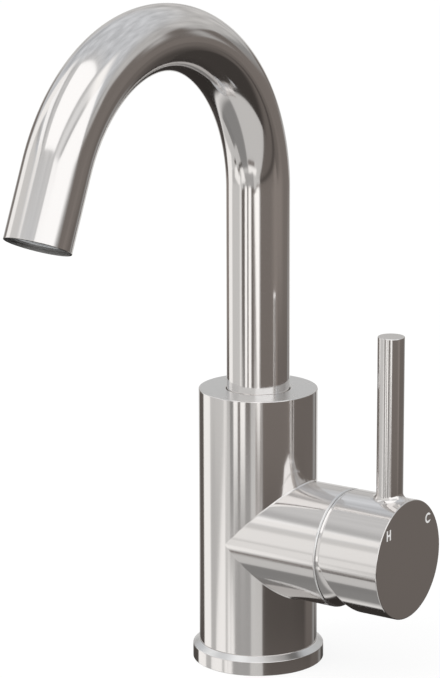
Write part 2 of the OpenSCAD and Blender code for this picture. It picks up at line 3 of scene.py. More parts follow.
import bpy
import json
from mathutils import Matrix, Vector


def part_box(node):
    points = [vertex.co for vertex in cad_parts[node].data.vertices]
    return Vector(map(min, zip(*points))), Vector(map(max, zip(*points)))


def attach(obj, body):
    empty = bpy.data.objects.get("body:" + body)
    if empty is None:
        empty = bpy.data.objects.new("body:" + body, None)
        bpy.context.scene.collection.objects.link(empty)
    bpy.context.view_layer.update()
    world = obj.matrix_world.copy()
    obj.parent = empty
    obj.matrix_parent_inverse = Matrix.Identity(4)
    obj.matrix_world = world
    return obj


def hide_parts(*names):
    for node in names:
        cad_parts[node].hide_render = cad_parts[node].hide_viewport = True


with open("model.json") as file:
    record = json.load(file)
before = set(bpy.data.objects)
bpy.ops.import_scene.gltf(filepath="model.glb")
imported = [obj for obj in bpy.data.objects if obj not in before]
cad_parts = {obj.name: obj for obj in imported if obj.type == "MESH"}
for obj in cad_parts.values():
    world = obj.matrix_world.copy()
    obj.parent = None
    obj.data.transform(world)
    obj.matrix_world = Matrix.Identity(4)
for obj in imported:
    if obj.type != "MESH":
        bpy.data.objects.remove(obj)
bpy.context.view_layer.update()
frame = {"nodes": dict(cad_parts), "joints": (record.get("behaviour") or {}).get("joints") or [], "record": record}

import json
import logging
import math
from dataclasses import dataclass, field
from enum import Enum
from typing import Optional, Sequence

import bmesh
import bpy
import numpy as np
from mathutils import Euler, Vector

LOG = logging.getLogger("faucet")
FACING = "facing"
WELD = 1e-6
STEEP = 0.5
TURN = 2 * math.pi
COLUMNS = 192
AROUND = np.linspace(0, TURN, COLUMNS + 1)
FROM_FRONT = np.linspace(-TURN / 4, TURN * 3 / 4, COLUMNS + 1)

Spot = tuple[float, float]
Corner = tuple[float, float, float]
Run = tuple[np.ndarray, np.ndarray]


class Slot(Enum):
    """The material slots of the record."""

    CHROME = "chrome"
    BRASS = "brass"
    STEEL = "steel"
    SPRING_STEEL = "spring_steel"
    RUBBER = "rubber"
    BEARING_PLASTIC = "bearing_plastic"
    CARTRIDGE_PLASTIC = "cartridge_plastic"
    TURRET_PLASTIC = "turret_plastic"
    RED_PLASTIC = "red_plastic"
    AERATOR_PLASTIC = "aerator_plastic"
    DISC_CERAMIC = "disc_ceramic"
    MARK_ENAMEL = "mark_enamel"


class Body(Enum):
    """The moving bodies of the model."""

    BODY = "body"
    SPOUT = "spout"
    LEVER = "lever"


@dataclass(frozen=True)
class Axis:
    """A line in space with two directions square to it, in which turned shapes are placed."""

    origin: tuple[float, float, float]
    along: tuple[float, float, float]
    side: tuple[float, float, float]
    other: tuple[float, float, float]

    def vectors(self, radial: np.ndarray, along: np.ndarray, angle: np.ndarray) -> np.ndarray:
        """Turns radial, axial and angular values into vectors.

        Args:
            radial: distances from the line.
            along: distances along the line.
            angle: angles about the line, from side towards other.

        Returns:
            The vectors, with one more dimension than the values.
        """
        radial, along, angle = np.broadcast_arrays(radial, along, angle)
        side, other = np.array(self.side), np.array(self.other)
        across = np.cos(angle)[..., None] * side + np.sin(angle)[..., None] * other
        return along[..., None] * np.array(self.along) + radial[..., None] * across

    def points(self, radial: np.ndarray, along: np.ndarray, angle: np.ndarray) -> np.ndarray:
        """The same as vectors, but from the line's origin."""
        return np.array(self.origin) + self.vectors(radial, along, angle)


class Skin:
    """A closed surface gathered from patches, each with the exact normals of its own shape."""

    def __init__(self) -> None:
        """Starts with no patches."""
        self._points: list[np.ndarray] = []
        self._normals: list[np.ndarray] = []
        self._faces: list[tuple[int, ...]] = []
        self._count = 0

    def _add(self, points: np.ndarray, normals: np.ndarray, faces: np.ndarray) -> None:
        """Adds faces over their own points, turned to agree with the normals.

        Args:
            points: the points.
            normals: the normal at each point.
            faces: the numbers of each face's three or four points.
        """
        ends = points[faces]
        across = np.cross(ends[:, 2] - ends[:, 0], ends[:, -1] - ends[:, 1])
        wrong = np.einsum("ij,ij->i", across, normals[faces].mean(1)) < 0
        faces[wrong] = faces[wrong][:, ::-1]
        self._faces += [tuple(face) for face in (faces + self._count).tolist()]
        self._points.append(points)
        self._normals.append(normals)
        self._count += len(points)

    def grid(self, points: np.ndarray, normals: np.ndarray,
             window: Optional[tuple[int, int, int, int]] = None) -> None:
        """Adds a patch of quads over rows and columns of points.

        Args:
            points: rows by columns of points.
            normals: the normal at each point.
            window: first row, last row, first column and last column of a part that is left open.
        """
        rows, columns = points.shape[:2]
        normals = np.broadcast_to(normals, points.shape)
        index = np.arange(rows * columns).reshape(rows, columns)
        cells = np.stack([index[:-1, :-1], index[1:, :-1], index[1:, 1:], index[:-1, 1:]], -1)
        keep = np.ones((rows - 1, columns - 1), bool)
        if window:
            keep[window[0]:window[1], window[2]:window[3]] = False
        self._add(points.reshape(-1, 3), normals.reshape(-1, 3), cells[keep])

    def band(self, near: np.ndarray, near_angle: np.ndarray, far: np.ndarray, far_angle: np.ndarray,
             normal: Sequence[float]) -> None:
        """Adds a flat band of triangles between two closed rings whose points don't pair up.

        Args:
            near: points of one ring, first and last the same.
            near_angle: rising angle of each of its points.
            far: points of the other ring, first and last the same.
            far_angle: rising angle of each of its points.
            normal: the band's normal.
        """
        faces, i, j = [], 0, 0
        start = len(near)
        while i < len(near) - 1 or j < len(far) - 1:
            if j == len(far) - 1 or (i < len(near) - 1 and near_angle[i + 1] <= far_angle[j + 1]):
                faces.append((i, i + 1, start + j))
                i += 1
            else:
                faces.append((i, start + j + 1, start + j))
                j += 1
        points = np.concatenate([near, far])
        normals = np.broadcast_to(np.array(normal, float), points.shape)
        self._add(points, normals, np.array(faces))

    def build(self, name: str) -> bpy.types.Object:
        """Welds the patches into one mesh object.

        Args:
            name: the new object's name.

        Returns:
            The object, at the origin.
        """
        points = np.concatenate(self._points)
        normals = np.concatenate(self._normals)
        mesh = bpy.data.meshes.new(name)
        mesh.from_pydata(points.tolist(), [], self._faces)
        layer = mesh.attributes.new(FACING, "FLOAT_VECTOR", "CORNER")
        corners = np.zeros(len(mesh.loops), np.int32)
        mesh.loops.foreach_get("vertex_index", corners)
        layer.data.foreach_set("vector", normals[corners].astype(np.float32).ravel())
        work = bmesh.new()
        work.from_mesh(mesh)
        bmesh.ops.remove_doubles(work, verts=work.verts, dist=WELD)
        open_edges = sum(1 for edge in work.edges if len(edge.link_faces) != 2)
        work.to_mesh(mesh)
        work.free()
        piece = bpy.data.objects.new(name, mesh)
        bpy.context.scene.collection.objects.link(piece)
        set_facing(piece)
        LOG.info("%s: %d faces, %d open edges", name, len(mesh.polygons), open_edges)
        return piece


def set_facing(piece: bpy.types.Object) -> None:
    """Makes the normals stored on a mesh its own, and removes the stored ones.

    Args:
        piece: the object whose mesh has them.
    """
    mesh = piece.data
    layer = mesh.attributes[FACING]
    vectors = np.zeros(len(layer.data) * 3, np.float32)
    layer.data.foreach_get("vector", vectors)
    vectors = vectors.reshape(-1, 3)
    mesh.polygons.foreach_set("use_smooth", [True] * len(mesh.polygons))
    if layer.domain == "CORNER":
        mesh.normals_split_custom_set(vectors.tolist())
    else:
        mesh.normals_split_custom_set_from_vertices(vectors.tolist())
    mesh.attributes.remove(mesh.attributes[FACING])


def rounded_outline(corners: Sequence[Corner], steps: int = 5) -> list[Run]:
    """Splits a closed outline with rounded corners into straight runs and arcs.

    Args:
        corners: distance from the axis, place along the axis and fillet radius of each corner.
        steps: the number of steps in each arc.

    Returns:
        The points and outward normals of each run, in order.
    """
    places = np.array([corner[:2] for corner in corners], float)
    after = np.roll(places, -1, 0)
    sign = 1 if np.sum(places[:, 0] * after[:, 1] - after[:, 0] * places[:, 1]) > 0 else -1
    arcs: list[Optional[Run]] = []
    starts, ends = [], []
    for place, before, following, (_, _, fillet) in zip(places, np.roll(places, 1, 0), after, corners):
        if not fillet:
            arcs.append(None)
            starts.append(place)
            ends.append(place)
            continue
        back = (before - place) / np.linalg.norm(before - place)
        on = (following - place) / np.linalg.norm(following - place)
        half = math.acos(np.clip(back @ on, -1, 1)) / 2
        starts.append(place + back * fillet / math.tan(half))
        ends.append(place + on * fillet / math.tan(half))
        middle = place + (back + on) / np.linalg.norm(back + on) * fillet / math.sin(half)
        first, last = (starts[-1] - middle) / fillet, (ends[-1] - middle) / fillet
        opening = math.acos(np.clip(first @ last, -1, 1))
        share = np.linspace(0, 1, steps + 1)[:, None]
        spokes = (np.sin((1 - share) * opening) * first + np.sin(share * opening) * last) / math.sin(opening)
        convex = (on[0] * back[1] - on[1] * back[0]) * sign > 0
        arcs.append((middle + fillet * spokes, spokes if convex else -spokes))
    runs: list[Run] = []
    for i, arc in enumerate(arcs):
        if arc:
            runs.append(arc)
        line = np.array([ends[i], starts[(i + 1) % len(starts)]])
        ahead = line[1] - line[0]
        if np.linalg.norm(ahead) > WELD:
            normal = sign * np.array([ahead[1], -ahead[0]]) / np.linalg.norm(ahead)
            runs.append((line, np.array([normal, normal])))
    return runs


def straight_runs(stops: Sequence[Spot], facings: Sequence[Spot]) -> list[Run]:
    """Joins the stops of an outline by straight runs.

    Args:
        stops: distance from the axis and place along the axis of each stop.
        facings: the normal of the run that follows each stop but the last.

    Returns:
        The points and normals of each run, in order.
    """
    return [(np.array([start, end]), np.array([facing, facing], float))
            for start, end, facing in zip(stops, stops[1:], facings)]


def end_runs(radius: float, start: float, stop: float, edge: float) -> list[Run]:
    """Gives the outline of a round bar's end: its rounded edge and its flat.

    Args:
        radius: the bar's radius.
        start: place along the axis where the bar starts.
        stop: place along the axis where it ends.
        edge: the radius of the rounded edge.

    Returns:
        The points and normals of the edge and of the flat.
    """
    corners = [(0, start, 0), (radius, start, 0), (radius, stop, edge), (0, stop, 0)]
    _, _, rim, flat, _ = rounded_outline(corners)
    return [rim, flat]


def turn_runs(skin: Skin, runs: Sequence[Run], axis: Axis, angles: np.ndarray) -> None:
    """Turns each run of an outline about an axis and adds it to a skin.

    Args:
        skin: the surface that grows.
        runs: points and normals in distance from the axis and place along it.
        axis: the line that they are turned about.
        angles: the angles of the columns.
    """
    for line, facing in runs:
        points = axis.points(line[:, :1], line[:, 1:], angles)
        skin.grid(points, axis.vectors(facing[:, :1], facing[:, 1:], angles))


def turned(name: str, corners: Sequence[Corner], axis: Axis) -> bpy.types.Object:
    """Builds a ring or a cap as a closed, turned mesh.

    Args:
        name: the new object's name.
        corners: its outline, as for rounded_outline.
        axis: the line that it is turned about.

    Returns:
        The object.
    """
    skin = Skin()
    runs = [run for run in rounded_outline(corners) if run[0][:, 0].max() > WELD]
    turn_runs(skin, runs, axis, AROUND)
    return skin.build(name)


def window_loop(rows: tuple[int, int], columns: tuple[int, int], table: np.ndarray) -> np.ndarray:
    """Walks round the edge of a window in a table of values.

    Args:
        rows: first and last row of the window.
        columns: first and last column of the window.
        table: rows by columns of values.

    Returns:
        The values along the edge, first and last the same.
    """
    (top, bottom), (left, right) = rows, columns
    walk = [(top, c) for c in range(left, right)] + [(r, right) for r in range(top, bottom)]
    walk += [(bottom, c) for c in range(right, left, -1)] + [(r, left) for r in range(bottom, top, -1)]
    walk.append(walk[0])
    return np.array([table[r, c] for r, c in walk])


def even_angles(loop: np.ndarray) -> np.ndarray:
    """Spreads angles evenly round a square loop, so that each corner of it gets a diagonal.

    Args:
        loop: flat points round the loop, measured from its middle, first and last the same.

    Returns:
        One angle for each point.
    """
    eighth = math.pi / 4
    start = round(math.atan2(loop[0, 1], loop[0, 0]) / eighth) * eighth
    turn = np.sum(loop[:-1, 0] * loop[1:, 1] - loop[1:, 0] * loop[:-1, 1])
    return start + math.copysign(1, turn) * np.linspace(0, TURN, len(loop))


def spread(*stops: tuple[float, float, int]) -> np.ndarray:
    """Joins evenly spaced stretches, each given as start, end and number of steps."""
    parts = [np.linspace(low, high, steps + 1)[:-1] for low, high, steps in stops]
    return np.append(np.concatenate(parts), stops[-1][1])


# The point on the branch's axis that the lever turns and tilts about
PIVOT_X, _, BRANCH_Z = next(joint["pos_m"] for joint in frame["joints"] if joint["name"] == "lever_flow")
UPRIGHT = Axis((0, 0, 0), (0, 0, 1), (1, 0, 0), (0, 1, 0))
SIDEWAYS = Axis((0, 0, BRANCH_Z), (1, 0, 0), (0, 1, 0), (0, 0, 1))


@dataclass
class TapBody:
    """The upright body with its side branch, the base ring and the domed cover in the branch.

    The grub screw's hole stands in a window of the mesh. The two windows' fields are shares of the
    wall's height, and the fields of rows and columns count the mesh's steps.
    """

    edge: float = 0.0004
    small_edge: float = 0.0002
    collar_edge: float = 0.0005
    seam_edge: float = 0.0009
    fillet: float = 0.0007
    bore: float = 0.0216
    roof: float = 0.0035
    collar_gap: float = 0.0002
    seat_bore: float = 0.0176
    shoulder: float = 0.0331
    nut_bore: float = 0.02023
    clip_low: float = 0.00797
    clip_high: float = 0.00953
    clip_bore: float = 0.0226
    screw_z: float = 0.091
    screw_radius: float = 0.0025
    ring_wall: float = 0.00575
    ring_bore: float = 0.020
    groove: float = 0.0038
    gap: float = 0.00003
    cover_wall: float = 0.0015
    cover_hole: float = 0.0106
    window: int = 8
    wall_window: tuple[float, float] = (0.57, 0.7)
    bore_window: tuple[float, float] = (0.6, 0.74)
    wall_rows: tuple[int, int] = (10, 5)
    bore_rows: tuple[int, int] = (8, 4)
    bore_columns: tuple[int, int] = (12, 90)
    low_wall_rows: int = 8
    low_bore_rows: int = 6
    branch_rows: int = 6
    seat_rows: int = 4
    punch_rows: int = 4
    fillet_rows: int = 7
    dome_rows: int = 16
    flat_facing: float = 0.99
    seam_facing: float = 0.2
    slope_facing: float = 0.4
    radius: float = field(init=False)
    low: float = field(init=False)
    top: float = field(init=False)
    reach: float = field(init=False)
    collar: float = field(init=False)

    def __post_init__(self) -> None:
        """Reads the main sizes from the frame."""
        low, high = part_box("body_shell")
        self.radius = high.y
        self.low = low.z
        self.top = high.z
        self.reach = high.x
        self.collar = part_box("spout_tube")[1].x + self.collar_gap

    def _punch(self, skin: Skin, radius: float, sign: int, angles: np.ndarray, heights: np.ndarray,
               rows: tuple[int, int], columns: tuple[int, int]) -> np.ndarray:
        """Closes a window in an upright wall down to the screw hole's edge.

        Args:
            skin: the surface that grows.
            radius: the wall's radius.
            sign: 1 for the outer wall, -1 for the bore.
            angles: rows by columns of the wall's angles.
            heights: rows by columns of the wall's heights.
            rows: first and last row of the window.
            columns: first and last column of the window.

        Returns:
            The points of the hole's edge.
        """
        rim_angle = window_loop(rows, columns, angles)
        rim_z = window_loop(rows, columns, heights)
        spokes = even_angles(np.stack([np.cos(rim_angle), rim_z - self.screw_z], 1))
        hole_angle = np.arccos(self.screw_radius * np.cos(spokes) / radius)
        hole_z = self.screw_z + self.screw_radius * np.sin(spokes)
        share = np.linspace(0, 1, self.punch_rows)[:, None]
        angle = rim_angle * (1 - share) + hole_angle * share
        height = rim_z * (1 - share) + hole_z * share
        skin.grid(UPRIGHT.points(radius, height, angle), sign * UPRIGHT.vectors(1, 0, angle))
        return UPRIGHT.points(radius, hole_z, hole_angle)

    def _outer(self, skin: Skin) -> np.ndarray:
        """Adds the outer walls of the body and the branch.

        Args:
            skin: the surface that grows.

        Returns:
            The points of the screw hole's outer edge.
        """
        angles = FROM_FRONT
        ball = self.radius + self.fillet
        seam = np.maximum(ball * np.cos(angles), 0)
        up = self.top - self.edge - BRANCH_Z
        half = self.window // 2
        # Above the branch, with the screw's window at the back
        (first, last), (under, over) = self.wall_window, self.wall_rows
        steps = spread((0, first, under), (first, last, self.window), (last, 1, over))
        heights = BRANCH_Z + seam + (up - seam) * steps[:, None]
        wide = np.broadcast_to(angles, heights.shape)
        rows, middle = (under, under + self.window), COLUMNS // 2
        columns = (middle - half, middle + half)
        skin.grid(UPRIGHT.points(self.radius, heights, wide), UPRIGHT.vectors(1, 0, wide), rows + columns)
        edge = self._punch(skin, self.radius, 1, wide, heights, rows, columns)
        # Below the branch
        down = BRANCH_Z - self.low
        share = np.linspace(0, 1, self.low_wall_rows)[:, None]
        heights = BRANCH_Z - seam - (down - seam) * share
        skin.grid(UPRIGHT.points(self.radius, heights, angles),
                  UPRIGHT.vectors(1, 0, np.broadcast_to(angles, heights.shape)))
        # The branch's own wall
        start = np.abs(ball * np.sin(AROUND))
        stop = self.reach - self.seam_edge
        along = start + (stop - start) * np.linspace(0, 1, self.branch_rows)[:, None]
        skin.grid(SIDEWAYS.points(self.radius, along, AROUND),
                  SIDEWAYS.vectors(1, 0, np.broadcast_to(AROUND, along.shape)))
        for side in (1, -1):
            self._junction(skin, angles[:middle + 1], side)
        return edge

    def _junction(self, skin: Skin, angles: np.ndarray, side: int) -> None:
        """Adds the fillet that a ball leaves when it rolls between the body and the branch.

        Args:
            skin: the surface that grows.
            angles: the body's angles, across the branch.
            side: 1 above the branch, -1 below it.
        """
        across, none = np.stack([np.cos(angles), np.sin(angles)]), 0 * angles
        ball = np.stack([across[0], across[1], side * across[0]], -1) * (self.radius + self.fillet)
        ball[:, 2] += BRANCH_Z
        share = np.linspace(0, 1, self.fillet_rows)[:, None, None]
        spokes = (share - 1) * np.stack([across[0], across[1], none], -1)
        spokes = spokes - share * np.stack([none, across[1], side * across[0]], -1)
        spokes = spokes / np.linalg.norm(spokes, axis=-1, keepdims=True)
        skin.grid(ball + self.fillet * spokes, -spokes)

    def _inner_angles(self) -> np.ndarray:
        """Gives the angles of the body's bore.

        Returns:
            The angles of its columns: those across the branch's bore first, then the rest.
        """
        across = self.seat_bore * np.cos(np.linspace(TURN / 2, 0, COLUMNS // 2 + 1))
        shared = np.arcsin(across / self.bore)
        quarter = TURN / 4
        part = self.window * TURN / COLUMNS / 2
        before, after = self.bore_columns
        rest = spread((shared[-1], quarter - part, before), (quarter - part, quarter + part, self.window),
                      (quarter + part, TURN + shared[0], after))
        return np.concatenate([shared, rest[1:]])

    def _inner(self, skin: Skin) -> np.ndarray:
        """Adds the body's bore with the clip's groove, the foot and the roof's underside.

        Args:
            skin: the surface that grows.

        Returns:
            The points of the screw hole's inner edge.
        """
        angles = self._inner_angles()
        across = self.bore * np.sin(angles)
        crossing = (np.cos(angles) > 0) & (np.abs(across) < self.seat_bore)
        seam = np.where(crossing, np.sqrt(np.maximum(self.seat_bore ** 2 - across ** 2, 0)), 0)
        up = self.top - self.roof - BRANCH_Z
        # Above the branch's bore, with the screw's window at the back
        (first, last), (under, over) = self.bore_window, self.bore_rows
        steps = spread((0, first, under), (first, last, self.window), (last, 1, over))
        heights = BRANCH_Z + seam + (up - seam) * steps[:, None]
        wide = np.broadcast_to(angles, heights.shape)
        left = COLUMNS // 2 + self.bore_columns[0]
        rows, columns = (under, under + self.window), (left, left + self.window)
        skin.grid(UPRIGHT.points(self.bore, heights, wide), -UPRIGHT.vectors(1, 0, wide), rows + columns)
        edge = self._punch(skin, self.bore, -1, wide, heights, rows, columns)
        # Below it, down to the clip's groove, and the groove
        down = BRANCH_Z - self.clip_high
        heights = BRANCH_Z - seam - (down - seam) * np.linspace(0, 1, self.low_bore_rows)[:, None]
        skin.grid(UPRIGHT.points(self.bore, heights, angles),
                  -UPRIGHT.vectors(1, 0, np.broadcast_to(angles, heights.shape)))
        stops = [(self.bore, self.clip_high), (self.clip_bore, self.clip_high),
                 (self.clip_bore, self.clip_low), (self.bore, self.clip_low), (self.bore, self.low)]
        turn_runs(skin, straight_runs(stops, [(0, -1), (-1, 0), (0, 1), (-1, 0)]), UPRIGHT, angles)
        # The foot, out to the wall, and the roof's underside, in to the collar hole
        roof_z = self.top - self.roof
        for radius, height in ((self.radius, self.low), (self.collar, roof_z)):
            even, bore = UPRIGHT.points(radius, height, FROM_FRONT), UPRIGHT.points(self.bore, height, angles)
            self._join_rings(skin, even, FROM_FRONT, bore, angles, (0, 0, -1))
        return edge

    @staticmethod
    def _join_rings(skin: Skin, even: np.ndarray, even_angle: np.ndarray, ring: np.ndarray,
                    ring_angle: np.ndarray, normal: Sequence[float]) -> None:
        """Adds a flat band between a ring of even columns and a ring that starts elsewhere.

        Args:
            skin: the surface that grows.
            even: points of the even ring, first and last the same.
            even_angle: rising angle of each of its points.
            ring: points of the other ring, first and last the same.
            ring_angle: rising angle of each of its points.
            normal: the band's normal.
        """
        shift = int(np.searchsorted(even_angle, ring_angle[0]))
        turned_angle = np.concatenate([even_angle[shift:-1], even_angle[:shift + 1] + TURN])
        turned_ring = np.concatenate([even[shift:-1], even[:shift + 1]])
        skin.band(turned_ring, turned_angle, ring, ring_angle, normal)

    def _ends(self, skin: Skin) -> None:
        """Adds the flat top with its collar hole, the branch's bore and its end face.

        Args:
            skin: the surface that grows.
        """
        roof_z = self.top - self.roof
        outline = [(self.collar, self.top, self.collar_edge), (self.collar, roof_z, 0),
                   (self.radius, roof_z, 0), (self.radius, self.top, self.edge)]
        turn_runs(skin, [run for run in rounded_outline(outline) if self._is_top(run)], UPRIGHT, FROM_FRONT)
        start = np.sqrt(self.bore ** 2 - (self.seat_bore * np.cos(AROUND)) ** 2)
        along = start + (self.shoulder - start) * np.linspace(0, 1, self.seat_rows)[:, None]
        skin.grid(SIDEWAYS.points(self.seat_bore, along, AROUND),
                  -SIDEWAYS.vectors(1, 0, np.broadcast_to(AROUND, along.shape)))
        outline = [(self.seat_bore, self.shoulder, 0), (self.nut_bore, self.shoulder, 0),
                   (self.nut_bore, self.reach, self.small_edge), (self.radius, self.reach, self.seam_edge),
                   (self.radius, self.radius, 0), (self.seat_bore, self.radius, 0)]
        step, nut_bore, mouth_edge, face, outer_edge, *_ = rounded_outline(outline)
        turn_runs(skin, [step, nut_bore, mouth_edge, face, outer_edge], SIDEWAYS, AROUND)

    @staticmethod
    def _is_top(run: Run) -> bool:
        """Says whether a run belongs to the top.

        Args:
            run: a run of the roof's outline.

        Returns:
            False for the roof's underside and its wall.
        """
        line, facing = run
        under = facing[0, 1] < -STEEP
        wall = len(line) == 2 and facing[0, 0] > STEEP
        return not under and not wall

    def shell(self) -> bpy.types.Object:
        """Builds the body shell as one closed mesh.

        Returns:
            The object.
        """
        skin = Skin()
        outer = self._outer(skin)
        inner = self._inner(skin)
        self._ends(skin)
        wall = np.stack([outer, inner])
        middle = np.array([0, 0, self.screw_z])
        normals = middle - wall
        normals[..., 1] = 0
        skin.grid(wall, normals / np.linalg.norm(normals, axis=-1, keepdims=True))
        return skin.build("body_tee")

    def face_ends(self, shell: bpy.types.Object, ring: bpy.types.Object) -> None:
        """Gives the flat top, the branch's end face and the ring's slope their own, softer finish.

        Args:
            shell: the body shell.
            ring: the base ring.
        """
        for piece in (shell, ring):
            piece.data.materials.append(FACED.material())
        for face in shell.data.polygons:
            top = face.normal.z > self.flat_facing and face.center.z > self.top - WELD
            end = face.normal.x > self.seam_facing and face.center.x > self.reach - self.seam_edge
            face.material_index = int(top or end)
        for face in ring.data.polygons:
            face.material_index = int(self.slope_facing < face.normal.z < self.flat_facing)

    def ring(self) -> bpy.types.Object:
        """Builds the base ring with its sloped top and the gasket's groove.

        Returns:
            The object.
        """
        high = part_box("base_ring")[1]
        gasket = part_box("base_gasket")[1]
        groove_in, groove_out = gasket.x - self.groove - self.gap, gasket.x + self.gap
        inside = self.radius + self.gap
        corners = [(self.ring_bore, 0, 0), (groove_in, 0, 0), (groove_in, gasket.z, 0),
                   (groove_out, gasket.z, 0), (groove_out, 0, 0),
                   (high.x, 0, self.small_edge), (high.x, self.ring_wall, self.edge),
                   (self.radius + self.edge, high.z, self.small_edge),
                   (inside, high.z, 0), (inside, self.low, 0), (self.ring_bore, self.low, 0)]
        return turned("base_ring_skin", corners, UPRIGHT)

    def cover(self) -> bpy.types.Object:
        """Builds the domed cover over the cartridge.

        Returns:
            The object.
        """
        low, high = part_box("bonnet_cover")
        dome = math.hypot(high.y, self.reach - PIVOT_X)
        skirt, wall, hole = self.nut_bore - self.gap, self.cover_wall, self.cover_hole
        steps = np.linspace(self.reach, high.x, self.dome_rows)
        radii = np.sqrt(dome ** 2 - (steps - PIVOT_X) ** 2)
        domed = np.stack([radii, steps], 1)
        inside = high.x - wall
        stops = [(radii[-1], high.x), (hole, high.x), (hole, inside), (skirt - wall, inside),
                 (skirt - wall, low.x), (skirt, low.x), (skirt, self.reach), (radii[0], self.reach)]
        facings = [(0, 1), (-1, 0), (0, -1), (-1, 0), (0, -1), (1, 0), (0, -1)]
        runs = [(domed, np.stack([radii, steps - PIVOT_X], 1) / dome)] + straight_runs(stops, facings)
        skin = Skin()
        turn_runs(skin, runs, SIDEWAYS, AROUND)
        return skin.build("bonnet_dome")

    def build(self) -> None:
        """Builds the three pieces and dresses them."""
        shell = self.shell()
        dress(shell, Slot.CHROME, Body.BODY, "body_shell")
        ring = self.ring()
        dress(ring, Slot.CHROME, Body.BODY, "base_ring")
        self.face_ends(shell, ring)
        dress(self.cover(), Slot.CHROME, Body.BODY, "bonnet_cover")


